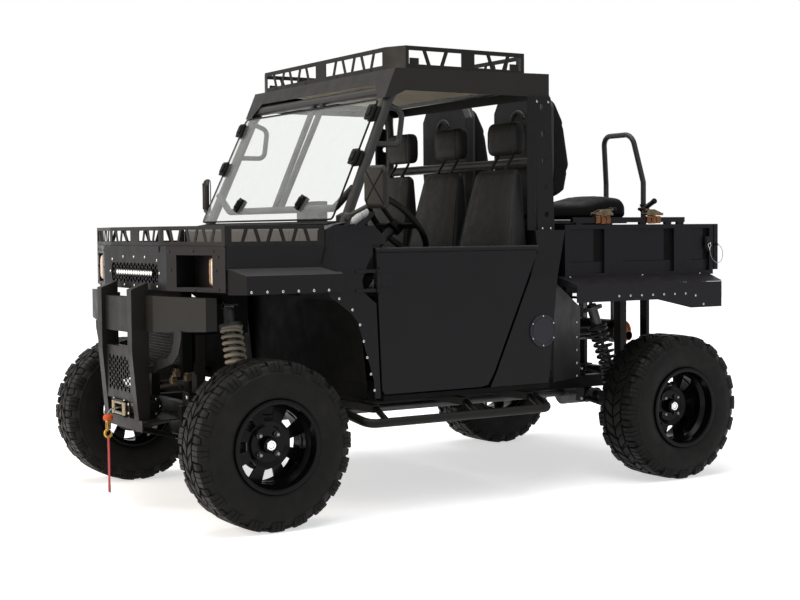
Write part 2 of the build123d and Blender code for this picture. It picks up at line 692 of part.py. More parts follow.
def hood_rack():
    """A low wall round the hood tray, pierced by a truss pattern and open at the cowl."""
    rear, corner, fold = (BODY_X, COWL_Y - 4), (BODY_X, NOSE_CORNER_Y), (RACK_FOLD_X, RACK_FRONT_Y)
    near = [rear, corner, fold]
    outline = near + [(-x, y) for x, y in reversed(near)]
    wall = wall_loop(outline, HOOD_Z, RACK_Z)
    wall -= block(-700, 700, COWL_Y - 20, COWL_Y, HOOD_Z, RACK_Z)
    z0, z1 = 1150, 1202
    cutters = truss_cutters(corner, rear, z0, z1, 7, first=25, last=30)
    cutters += truss_cutters(fold, corner, z0, z1, 7, first=22, last=22, wide_top=False)
    cutters += truss_cutters((RACK_PLATE_X, RACK_FRONT_Y), fold, z0, z1, 4, first=0, last=18)
    side = fused(cutters)
    return wall - side - mirrored(side)


ARCH = [(-818, 943), (-809, 927), (-707, 851), (-682, 820), (-606, 571), (-601, 492)]
SHELF_IN = (BODY_X, 1046)  # x and z of the fender shelf's two edges
SHELF_OUT = (FLARE_X, 1018)
SKIRT_Z = 943
SKIRT_REAR_Y = -758
CHEEK_LOW = (BODY_X, -830, 1046)  # the leaning cheek between hood side and door
CHEEK_TOP = (BODY_X, -758, 1215)
CHEEK_OUT = (SIDE_X, -780, 1027)
CHEEK_REAR = (SIDE_X, -604, 1096)
DOOR_NOTCH = [(-591, 890), (-647, 935), (-658, 985), (-634, 1048)]
HINGE_X, HINGE_Y, HINGE_Z = 766, -585, 985
HINGE_R = 8


def on_cheek(y, z):
    """The point of the leaning cheek's plane at a (y, z) place."""
    a, b, c = (Vector(*p) for p in (CHEEK_TOP, CHEEK_OUT, CHEEK_REAR))
    normal = (b - a).cross(c - a)
    return (a.X - (normal.Y * (y - a.Y) + normal.Z * (z - a.Z)) / normal.X, y, z)


def front_side_panel():
    """Left hood side, fender shelf and skirt, leaning cheek, and the panel behind the wheel."""
    front_y = NOSE_CORNER_Y + 6
    hood_side = side_plate(
        BODY_X - SHEET, BODY_X,
        [(front_y, 1042), (front_y, HOOD_Z), (COWL_Y, HOOD_Z), (COWL_Y, 1198), CHEEK_TOP[1:],
         CHEEK_LOW[1:], (CHEEK_LOW[1], 1042)],
    )
    top = [SHELF_IN, SHELF_OUT, (FLARE_X, 1014), (BODY_X, 1042), (BODY_X - 4, 1042), (BODY_X - 4, 1046)]
    shelf = front_plate(-1250, SKIRT_REAR_Y, top)
    skirt = block(FLARE_X - SHEET, FLARE_X, -1250, SKIRT_REAR_Y, SKIRT_Z, SHELF_OUT[1])
    front_cut = plan_plate(
        900, 1100, [(700, -1300), (800, -1300), (800, -1179), (BODY_X, front_y + 4), (700, front_y + 4)]
    )
    fender = fused([shelf, skirt]) - front_cut
    face = panel_along((BODY_X, front_y + 4), (FLARE_X, -1194), SHEET, SKIRT_Z, SHELF_IN[1])
    face -= front_plate(-1300, -1100, [SHELF_IN, SHELF_OUT, (800, 1018), (800, 1100), (BODY_X, 1100)])
    lower = side_plate(
        SIDE_X - SHEET, SIDE_X,
        ARCH + [(-573, 492)] + DOOR_NOTCH + [CHEEK_REAR[1:], CHEEK_OUT[1:]],
    )
    fold = skewed_sheet([CHEEK_LOW, CHEEK_TOP, CHEEK_OUT])
    rear_edge = [(-581, 1214), (-533, 1159), (-540, 1136), (-604, 1136)]
    cheek = skewed_sheet([CHEEK_OUT, CHEEK_TOP] + [on_cheek(*place) for place in rear_edge] + [CHEEK_REAR])
    step = block(SIDE_X - SHEET, FLARE_X - SHEET, SKIRT_REAR_Y - 4, SKIRT_REAR_Y, SKIRT_Z, SHELF_OUT[1] - 4)
    hinge = []
    for z in (HINGE_Z - 40, HINGE_Z + 40):
        hinge.append(Pos(HINGE_X, HINGE_Y, z) * Cylinder(HINGE_R, 14))
        hinge.append(block(SIDE_X - 2, SIDE_X + 4, -690, HINGE_Y - 5, z - 7, z + 7))
    return fused([hood_side, fender, face, lower, fold, cheek, step] + hinge)


def arch_liner():
    """The inner wall behind the front wheel and the roof over it."""
    band = [(-1150, 990), (-800, 990), (-676, 900), (-640, 560), (-640, 500), (-644, 500),
            (-644, 560), (-680, 898), (-802, 986), (-1150, 986)]
    return side_plate(300, SIDE_X - SHEET, band)


# ---- cab -------------------------------------------------------------------------------
def cab_floor():
    """Floor pan with firewall, seat box, rear wall and sills, open above."""
    floor = block(-730, 730, -634, 300, FLOOR_Z, FLOOR_Z + 6)
    sill = block(735, SIDE_X, -560, 316, 480, 500) + block(700, 740, -560, 300, 480, 500)
    firewall = block(-700, 700, -634, -630, FLOOR_Z + 6, 905)
    toe = side_plate(-700, 700, [(-634, 905), (-630, 905), (-560, 1000), (-564, 1000)])
    box_front = block(-700, 700, -190, -186, FLOOR_Z + 6, 860)
    box_top = block(-700, 700, -190, 300, 856, 860)
    rear_wall = block(-700, 700, 296, 300, FLOOR_Z + 6, 1188)
    return fused([floor, firewall, toe, box_front, box_top, rear_wall, sill, mirrored(sill)])


def cage():
    """Roll cage: pillars, roof rails, cross tubes, windshield struts and grab handles."""
    side_route = [
        (676, -735, 1120), (640, -456, 1742), (634, -395, 1830),
        (634, 330, 1844), (640, 345, 1700), (655, 345, 482),
    ]
    side = tube(side_route, CAGE_R)
    cross = [
        tube([(-630, -440, 1790), (630, -440, 1790)], CAGE_R),
        tube([(-634, 300, 1840), (634, 300, 1840)], CAGE_R),
        tube([(-645, 345, 1500), (645, 345, 1500)], CAGE_R),
    ]
    lower = tube([(-660, -640, 1372), (-520, -650, 1290), (520, -650, 1290), (660, -640, 1372)], 16)
    struts = [rod((x0, -650, 1290), (x1, -440, 1790), 14) for x0, x1 in ((-45, -20), (15, 65))]
    handle = tube([(640, -470, 1735), (640, -380, 1700), (640, -400, 1560), (652, -545, 1560)], 12, 35)
    return fused([side, mirrored(side), lower, handle, mirrored(handle)] + cross + struts)


def roof():
    """A folded roof tray: flat top, side skirts, a deep visor and a rear skirt."""
    outer = [(ROOF_FRONT_Y, ROOF_Z), (ROOF_REAR_Y, ROOF_Z + 13), (ROOF_REAR_Y, ROOF_SKIRT_Z),
             (-380, ROOF_SKIRT_Z), (VISOR_Y + 30, VISOR_Z), (VISOR_Y, VISOR_Z)]
    inner = [(ROOF_FRONT_Y + 4, ROOF_Z - SHEET), (ROOF_REAR_Y - SHEET, ROOF_Z + 9),
             (ROOF_REAR_Y - SHEET, 1700), (VISOR_Y + SHEET - 24, 1700)]
    shell = side_plate(-ROOF_X, ROOF_X, outer) - side_plate(-ROOF_X + SHEET, ROOF_X - SHEET, inner)
    notch_near = [(600, 1700), (600, 1765), (540, VISOR_EDGE_Z)]
    notch = notch_near + [(-x, z) for x, z in reversed(notch_near)]
    return shell - front_plate(-520, -425, notch)


def roof_rack():
    """A wall round the roof, its corners chamfered and plain, its four sides pierced."""
    front_y, side_y, rear_y = -423, -377, 297
    fold_x, wall_x = 571, ROOF_X - 1
    near = [(fold_x, front_y), (wall_x, side_y), (wall_x, 251), (fold_x, rear_y)]
    outline = near + [(-x, y) for x, y in reversed(near)]
    wall = wall_loop(outline, ROOF_Z - 2, ROOF_RACK_Z)
    runs = [  # from, to, bays, plain first and last lengths
        ((48, front_y), (fold_x, front_y), 6, 0, 22),
        ((wall_x, side_y), (wall_x, -90), 3, 16, 0),
        ((wall_x, -20), (wall_x, 251), 3, 0, 16),
        ((fold_x, rear_y), (48, rear_y), 6, 22, 0),
    ]
    cutters = []
    for start, end, bays, first, last in runs:
        cutters += truss_cutters(start, end, 1907, 1966, bays, first, last, wide_top=False, web=13)
    side = fused(cutters)
    under = side_plate(
        -700, 700,
        [(ROOF_FRONT_Y, ROOF_Z), (ROOF_REAR_Y, ROOF_Z + 13), (ROOF_REAR_Y, 1800), (ROOF_FRONT_Y, 1800)],
    )
    return wall - side - mirrored(side) - under


def windshield():
    """A flat clear pane ahead of the pillars, with rounded lower corners."""
    slope = Plane(origin=(0, -734, 1238), x_dir=(1, 0, 0), z_dir=(0, -0.904, 0.427))
    outline = make_face(Polyline((-652, 0), (652, 0), (635, 566), (-635, 566), close=True))
    return extrude(slope * outline, amount=5)


def dashboard():
    """The dash with the fixed steering column under it."""
    dash = side_plate(
        -600, 600,
        [(-690, 1000), (-690, 1180), (-650, 1196), (-520, 1196), (-470, 1150), (-490, 1040), (-560, 1000)],
    )
    return dash + rod((350, -606, 898.3), (350, -262, 1192.5), 20)


STEER_CENTRE = (350, -231, 1219)
STEER_AXIS = (0, 0.76, 0.65)


def steering_wheel():
    """A round rim on three spokes, about the column's axis."""
    place = Plane(origin=STEER_CENTRE, x_dir=(1, 0, 0), z_dir=STEER_AXIS)
    ring = Torus(168, 14)
    hub = Pos(0, 0, -16) * Cylinder(36, 32)
    spokes = [Rot(Z=a) * Pos(95, 0, -8) * Box(150, 26, 10) for a in (0, 180, 270)]
    return place * fused([ring, hub] + spokes)


SEATS = [(-450, 216), (0, 208), (450, 216)]  # centre and half-width of each seat
HEADREST_Y = (272, 338)


def seats():
    """Soft cushions, backs and headrests of the three front seats."""
    cushions, backs, rests = [], [], []
    for x, half in SEATS:
        cushions.append(block(x - half, x + half, -215, 215, 861, 965))
        profile = side_plate(
            x - half, x + half,
            [(180, 975), (150, 1080), (235, 1465), (285, 1470), (290, 1300), (290, 975)],
        )
        taper = front_plate(
            100, 300,
            [(x - half, 975), (x + half, 975), (x + half, 1110),
             (x + 156, 1470), (x - 156, 1470), (x - half, 1110)],
        )
        backs.append(profile & taper)
        rests.append(block(x - 116, x + 116, *HEADREST_Y, 1536, 1688))
    return [fused(cushions), fused(backs), fused(rests)]


def mirrors():
    """Door mirrors: rounded shells on short arms from the front pillars."""
    head = block(775, 888, -652, -612, 1282, 1462)
    head = fillet(head.edges().filter_by(Axis.Y), 26)
    head = chamfer(head.faces().sort_by(Axis.Y)[0].edges(), 9)
    stem = rod((690, -692, 1250), (800, -640, 1300), 9)
    return both(head + stem)


DOOR_OUTLINE = [
    (DOOR_FRONT_Y, 1100), (DOOR_REAR_Y - 12, 1100), (244, 1078), (10, 565), (-22, 515),
    (-60, DOOR_BOTTOM_Z), (-550, DOOR_BOTTOM_Z), (-565, 525),
]
DOOR_RIM = 24  # width of the folded edge round the door's hollow back


def door():
    """The left half door: a panel with folded edges under a top rail, on a strap hinge."""
    x0 = SIDE_X - DOOR_T
    panel = side_plate(x0, SIDE_X, DOOR_OUTLINE)
    outline = make_face(Polyline(*DOOR_OUTLINE, close=True))
    hollow = offset(outline, amount=-DOOR_RIM, kind=Kind.INTERSECTION)
    panel -= extrude(Plane.YZ.offset(x0 - 1) * hollow, amount=DOOR_T - SHEET + 1)
    panel += side_plate(x0 + 4, SIDE_X - 2, [(-330, 520), (-290, 520), (-290, 1090), (-330, 1090)])
    rail = rod((SIDE_X - 16, DOOR_FRONT_Y, 1108), (SIDE_X - 16, DOOR_REAR_Y, 1108), 14)
    hinge = Pos(HINGE_X, HINGE_Y, HINGE_Z)
    panel -= hinge * Cylinder(HINGE_R + 5, 110)
    barrel = hinge * Cylinder(HINGE_R, 60)
    strap = block(SIDE_X - 3, SIDE_X + 4, HINGE_Y, HINGE_Y + 70, HINGE_Z - 25, HINGE_Z + 25)
    return fused([panel, rail, barrel, strap])


COVER_Y, COVER_Z, COVER_R = 278, 738, 72


def rear_side_panel():
    """Left panel behind the door: lower face, leaning upper face, rear return and pillar cover."""
    lower = side_plate(
        SIDE_X - SHEET, SIDE_X,
        [(-10, 502), (312, 502), (363, 974), (210, 974), (24, 566)],
    )
    upper = front_plate(200, 440, [(SIDE_X, 974), (720, 1188), (716, 1188), (SIDE_X - SHEET, 974)])
    upper &= side_plate(
        700, 770, [(210, 974), (363, 974), (439, 1188), (271, 1188), (271, 1090), (256, 1076)]
    )
    back = panel_along((SIDE_X, 340), (640, 590), SHEET, 502, 974)
    back = back - front_plate(300, 700, [(770, 974), (770, 986), (620, 986), (620, 808)])
    cover = front_plate(296, 390, [(706, 1188), (680, 1790), (676, 1790), (702, 1188)])
    facet = panel_along((691, 296), (664, 268), -SHEET, 1188, 1788)
    shelf = plan_plate(1184, 1188, [(701, 271), (720, 271), (720, 439), (701, 439)])
    cell = extrude(Plane.YZ * RegularPolygon(14, 6), amount=40, both=True)
    holes = [Pos(700, 338 + 2 * i, 1744 - 121 * i) * cell for i in range(5)]
    return fused([lower, upper, back, cover, facet, shelf]) - fused(holes)


def side_cover():
    """A round access cover with a raised ring."""
    disc = Cylinder(COVER_R, 6) - Pos(0, 0, 4) * (Cylinder(COVER_R - 9, 6) - Cylinder(COVER_R - 14, 7))
    return Pos(SIDE_X + 3, COVER_Y, COVER_Z) * Rot(Y=90) * disc


# ---- bed -------------------------------------------------------------------------------
BED_WALL = 24
BED_PANELS = [  # y from, y to, depth below the posts
    (498, 644, 7), (644, 705, 16), (816, 1080, 7), (1080, 1141, 16), (1251, 1335, 7), (1335, 1374, 16),
]
BED_CREASE_Z = 1039
BED_RAIL_Y = (523, 1215)


def bed():
    """Cargo tub with stamped sides, a raised floor panel, load rails and hinge ears."""
    tub = block(-BED_X, BED_X, BED_FRONT_Y, BED_REAR_Y, BED_BOTTOM_Z, BED_TOP_Z)
    inner_x = BED_X - BED_WALL
    tub -= block(-inner_x, inner_x, BED_FRONT_Y + BED_WALL, BED_REAR_Y + 5, BED_BOTTOM_Z + 20, BED_TOP_Z + 5)
    stamping = []
    for y0, y1, depth in BED_PANELS:
        stamping.append(block(BED_X - depth, BED_X + 1, y0, y1, BED_CREASE_Z, BED_TOP_Z - 20))
        stamping.append(block(BED_X - depth + 2.5, BED_X + 1, y0, y1, 985, BED_CREASE_Z))
    ear = block(236, 256, 1352, 1394, 925, BED_BOTTOM_Z)
    pin = Pos(252, BED_HINGE_Y, BED_HINGE_Z) * Rot(Y=90) * Cylinder(BED_PIN_R, 40)
    rail = block(655, 675, *BED_RAIL_Y, 1222, 1246)
    feet = [block(657, 673, y - 20, y + 20, BED_TOP_Z - 2, 1224) for y in (560, 740, 950, 1110, 1190)]
    latch = block(BED_X - 1, BED_X + 7, 1340, 1368, 1090, 1150)
    near = fused([ear, pin, rail, latch] + feet)
    floor = block(-600, 600, 1030, 1235, BED_BOTTOM_Z + 20, BED_BOTTOM_Z + 23)
    stamped = tub - stamping - [mirrored(cut) for cut in stamping]
    return fused([stamped, near, mirrored(near), floor])


def tailgate():
    """A drop-down gate behind the tub, its outer face ribbed, with a round hinge bar below."""
    y0, y1 = TAILGATE_Y, TAILGATE_Y + TAILGATE_T
    gate = block(-BED_X, BED_X, y0, y1, BED_BOTTOM_Z + 22, BED_TOP_Z)
    for x0, x1 in ((-640, -236), (-212, 212), (236, 640)):
        gate -= block(x0, x1, y0 + 6, y1 + 1, BED_BOTTOM_Z + 60, BED_TOP_Z - 40)
    bar = Pos(0, 1417, 985) * Rot(Y=90) * Cylinder(8, 1200)
    handle = block(-60, 60, y1 - 2, y1 + 6, BED_TOP_Z - 34, BED_TOP_Z - 12)
    start_y, start_z = LANYARD_ROUTE[0][1:]
    eyelet = Pos(BED_X + 4, start_y, start_z) * Rot(Y=90) * Cylinder(6, 10)
    return fused([gate, bar, handle, eyelet])


LANYARD_R = 1.5
LANYARD_ROUTE = [
    (690.5, 1420, 1111), (695, 1436, 1101), (698, 1445, 1079), (698, 1446, 1054), (698, 1438, 1032),
    (698, 1421, 1021), (698, 1402, 1021), (698, 1385, 1031), (697, 1371, 1048), (696, 1362, 1072),
    (696, 1359, 1097),
]


def gate_lanyard():
    """The wire of the tailgate's latch pin, which hangs in a loop from the gate's edge."""
    return cord(LANYARD_ROUTE, LANYARD_R)


FLARE_Y = (421, 1356)


def rear_flares():
    """Folded fender flares that stand out from the bed's lower edge."""
    y0, y1 = FLARE_Y
    shelf = front_plate(y0, y1, [(BED_X, 975), (FLARE_X, 939), (FLARE_X, 935), (BED_X, 971)])
    skirt = side_plate(
        FLARE_X - SHEET, FLARE_X,
        [(y0, 939), (y0, 857), (946, 857), (1044, 836), (1158, 811), (y1 + 2, 811), (y1 + 2, 933)],
    )
    nose = panel_along((BED_X, y0), (FLARE_X, y0 + 41), SHEET, 928, 975)
    nose -= front_plate(300, 500, [(BED_X, 975), (FLARE_X, 939), (800, 939), (800, 1000), (BED_X, 1000)])
    flare = fused([shelf, skirt])
    flare -= plan_plate(800, 1000, [(BED_X - 1, 400), (BED_X - 1, y0), (790, y0 + 45), (790, 400)])
    return both(fused([flare, nose]))


def tail_lamps():
    """Lamp boxes under the bed's rear corners."""
    lamp = block(540, 640, 1356, 1392, 908, BED_BOTTOM_Z - 0.3)
    return both(fillet(lamp.edges().filter_by(Axis.Y), 8))


REAR_SEAT_X = 320
SHELL_Y = BED_FRONT_Y + 30  # back face of the rear-facing shells
SHELL_OUTLINE = [
    (-190, 1235), (190, 1235), (224, 1480), (224, 1765),
    (178, 1838), (-178, 1838), (-224, 1765), (-224, 1480),
]
REAR_BACK_PROFILE = [(517, 1340), (517, 1800), (560, 1810), (620, 1700), (655, 1500), (630, 1380), (560, 1340)]
REAR_CUSHION_PROFILE = [
    (530, 1236), (1005, 1236), (1005, 1310), (985, 1345), (880, 1356), (740, 1322), (530, 1315),
]


def rear_seats():
    """Two rear-facing hard shells with raised backs and handles on a box base, and soft pads."""
    shells, pads = [], []
    for x in (-REAR_SEAT_X, REAR_SEAT_X):
        outline = make_face(Polyline(*[(x + u, z) for u, z in SHELL_OUTLINE], close=True))
        plane = Plane.XZ.offset(-SHELL_Y)
        shells.append(extrude(plane * outline, amount=-14))
        shells.append(extrude(plane * offset(outline, amount=-6), amount=26, taper=40))
        shells.append(Pos(x, SHELL_Y - 24, 1700) * Rot(X=90) * Torus(52, 8))
        shells.append(block(x - 190, x + 190, SHELL_Y, 990, 1218, 1235))
        shells.append(block(x - 150, x + 150, SHELL_Y + 30, 930, BED_BOTTOM_Z + 20, 1218))
        pads.append(side_plate(x - 198, x + 198, REAR_BACK_PROFILE))
        pads.append(side_plate(x - 186, x + 186, REAR_CUSHION_PROFILE))
    return [fused(shells), fused(pads)]


HOOP_X = 58


def grab_bar():
    """The rear passengers' hoop, which stands on the bed floor and leans forward at the top."""
    half = 148
    near = [(half, 1366, BED_BOTTOM_Z + 20), (half, 1366, 1432), (112, 1320, 1680)]
    route = near + [(-x, y, z) for x, y, z in reversed(near)]
    strut = rod((HOOP_X + half, 1366, 1290), (HOOP_X + half + 95, 1352, 1330), 13)
    return Pos(HOOP_X, 0, 0) * tube(route, 14) + strut


def build():
    nodes = {}
    nodes.update(wheel_set())
    nodes["frame_rails"] = frame_rails()
    nodes["cross_members"] = cross_members()
    nodes["receiver"] = receiver()
    nodes["shock_towers"] = shock_towers()
    nodes["front_arms"], nodes["rear_arms"] = suspension_arms()
    nodes["left_knuckle"] = knuckle()
    nodes["right_knuckle"] = mirrored(nodes["left_knuckle"])
    nodes["steering_rack"] = steering_rack()
    nodes["driveline"] = driveline()
    nodes["dampers"], nodes["springs"] = shock_parts()
    nodes["side_steps"] = side_steps()
    nodes["engine_block"] = engine()
    nodes["muffler"] = muffler()
    nodes["bull_bar"] = bull_bar()
    nodes["winch"] = winch()
    nodes["winch_rope"] = winch_rope()
    nodes["winch_hook"] = winch_hook()
    nodes["pull_strap"] = pull_strap()
    nodes["nose_panel"] = nose_panel()
    nodes["headlamps"] = headlamps()
    nodes["grille_mesh"] = grille_mesh()
    nodes["light_bar"] = light_bar()
    nodes["hood"] = hood()
    nodes["hood_rack"] = hood_rack()
    nodes["left_front_panel"] = front_side_panel()
    nodes["right_front_panel"] = mirrored(nodes["left_front_panel"])
    nodes["arch_liners"] = both(arch_liner())
    nodes["cab_floor"] = cab_floor()
    nodes["cage"] = cage()
    nodes["roof"] = roof()
    nodes["roof_rack"] = roof_rack()
    nodes["windshield"] = windshield()
    nodes["dashboard"] = dashboard()
    nodes["steering_wheel"] = steering_wheel()
    nodes["seat_cushions"], nodes["seat_backs"], nodes["headrests"] = seats()
    nodes["mirrors"] = mirrors()
    nodes["left_door"] = door()
    nodes["right_door"] = mirrored(nodes["left_door"])
    nodes["rear_side_panels"] = both(rear_side_panel())
    nodes["side_covers"] = both(side_cover())
    nodes["bed"] = bed()
    nodes["tailgate"] = tailgate()
    nodes["gate_lanyard"] = gate_lanyard()
    nodes["rear_flares"] = rear_flares()
    nodes["tail_lamps"] = tail_lamps()
    nodes["rear_seat_shells"], nodes["rear_seat_pads"] = rear_seats()
    nodes["grab_bar"] = grab_bar()
    nodes["hood"] -= nodes["cage"]
    nodes["mirrors"] -= nodes["cage"]
    nodes["side_steps"] -= nodes["cross_members"]
    nodes["dampers"] -= nodes["shock_towers"]
    return nodes


os.makedirs("parts", exist_ok=True)
for name, shape in build().items():
    export_step(shape, "parts/" + name + ".step")
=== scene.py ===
"""The dressed scene of a side by side utility vehicle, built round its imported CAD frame.

Metres, in the frame's own axes: +Z is up, the vehicle faces -Y and its left side is +X.
Its sections are the camera, the mesh helpers, the materials, the stage and the cords, and
then one function for each piece or group of pieces, by the part of the vehicle it is on.
"""

import math

import bmesh
import bpy
from mathutils import Matrix, Vector


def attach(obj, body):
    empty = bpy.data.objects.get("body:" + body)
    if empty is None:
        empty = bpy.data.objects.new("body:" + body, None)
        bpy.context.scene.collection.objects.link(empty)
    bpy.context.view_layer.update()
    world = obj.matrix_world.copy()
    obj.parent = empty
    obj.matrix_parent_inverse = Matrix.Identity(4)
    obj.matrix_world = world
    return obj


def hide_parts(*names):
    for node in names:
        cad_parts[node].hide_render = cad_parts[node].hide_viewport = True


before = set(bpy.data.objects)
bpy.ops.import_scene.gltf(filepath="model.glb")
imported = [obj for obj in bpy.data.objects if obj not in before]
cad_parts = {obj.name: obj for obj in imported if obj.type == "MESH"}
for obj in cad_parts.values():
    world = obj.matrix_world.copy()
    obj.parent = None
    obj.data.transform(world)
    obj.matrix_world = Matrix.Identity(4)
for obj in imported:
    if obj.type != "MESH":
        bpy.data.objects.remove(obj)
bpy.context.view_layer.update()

# ---- driving dimensions, as in the part's source -------------------------------------------
TYRE_R = 0.343
FRONT_AXLE_Y = -1.098
REAR_AXLE_Y = 1.059
HALF_WIDTH = 0.850
FRONT_TYRE_W = 0.229
REAR_TYRE_W = 0.256
RIM_R = 0.178
FRONT_DISH = 0.096
REAR_DISH = 0.108
HUB_PCD = 0.110
HUB_BOLTS = 4

BODY_X = 0.714
SIDE_X = 0.760
FLARE_X = 0.780
NOSE_Y = -1.354
NOSE_FOLD_X = 0.357
NOSE_CORNER_Y = -1.256
HOOD_Z = 1.136
RACK_Z = 1.218
COWL_Y = -0.804
ROOF_Z = 1.883
BED_X = 0.680

WHEELS = [  # body, side, axle y, tyre width, dish
    ("front_left_wheel", 1, FRONT_AXLE_Y, FRONT_TYRE_W, FRONT_DISH),
    ("front_right_wheel", -1, FRONT_AXLE_Y, FRONT_TYRE_W, FRONT_DISH),
    ("rear_left_wheel", 1, REAR_AXLE_Y, REAR_TYRE_W, REAR_DISH),
    ("rear_right_wheel", -1, REAR_AXLE_Y, REAR_TYRE_W, REAR_DISH),
]


# ---- camera --------------------------------------------------------------------------------
CAMERA_AT = (5.8688, -3.6645, 1.1908)
CAMERA_AZIMUTH = math.radians(58.02)
CAMERA_PITCH = math.radians(-2.757)
CAMERA_ROLL = math.radians(-0.509)
FOCAL_PIXELS = 1435.09
IMAGE_WIDTH = 800
SENSOR_MM = 36.0


def add_camera():
    """The camera at the photograph's place, from its azimuth, pitch and roll."""
    sin_a, cos_a = math.sin(CAMERA_AZIMUTH), math.cos(CAMERA_AZIMUTH)
    sin_p, cos_p = math.sin(CAMERA_PITCH), math.cos(CAMERA_PITCH)
    ahead = Vector((-sin_a * cos_p, cos_a * cos_p, sin_p))
    level = Vector((cos_a, sin_a, 0))
    upward = level.cross(ahead)
    right = level * math.cos(CAMERA_ROLL) + upward * math.sin(CAMERA_ROLL)
    top = upward * math.cos(CAMERA_ROLL) - level * math.sin(CAMERA_ROLL)
    data = bpy.data.cameras.new("camera")
    data.sensor_width = SENSOR_MM
    data.lens = FOCAL_PIXELS / IMAGE_WIDTH * SENSOR_MM
    camera = bpy.data.objects.new("camera", data)
    bpy.context.scene.collection.objects.link(camera)
    turn = Matrix((right, top, -ahead)).transposed().to_4x4()
    camera.matrix_world = Matrix.Translation(CAMERA_AT) @ turn
    bpy.context.scene.camera = camera


# ---- mesh helpers --------------------------------------------------------------------------
def cross_section_frame(direction):
    """Two unit vectors square to a direction."""
    direction = direction.normalized()
    nearly_upright = abs(direction.z) > 0.95
    across = direction.cross(Vector((1, 0, 0) if nearly_upright else (0, 0, 1))).normalized()
    return across, across.cross(direction).normalized()


def turns(count):
    """The angles of evenly spaced places round a circle."""
    return [2 * math.pi * k / count for k in range(count)]


def around(radius, angle, along):
    """A place given by its turn about the local Z axis."""
    return (radius * math.cos(angle), radius * math.sin(angle), along)


def round_point(centre, across, up, radius, angle):
    """The place at an angle on a circle that two unit vectors span."""
    return centre + across * (radius * math.cos(angle)) + up * (radius * math.sin(angle))


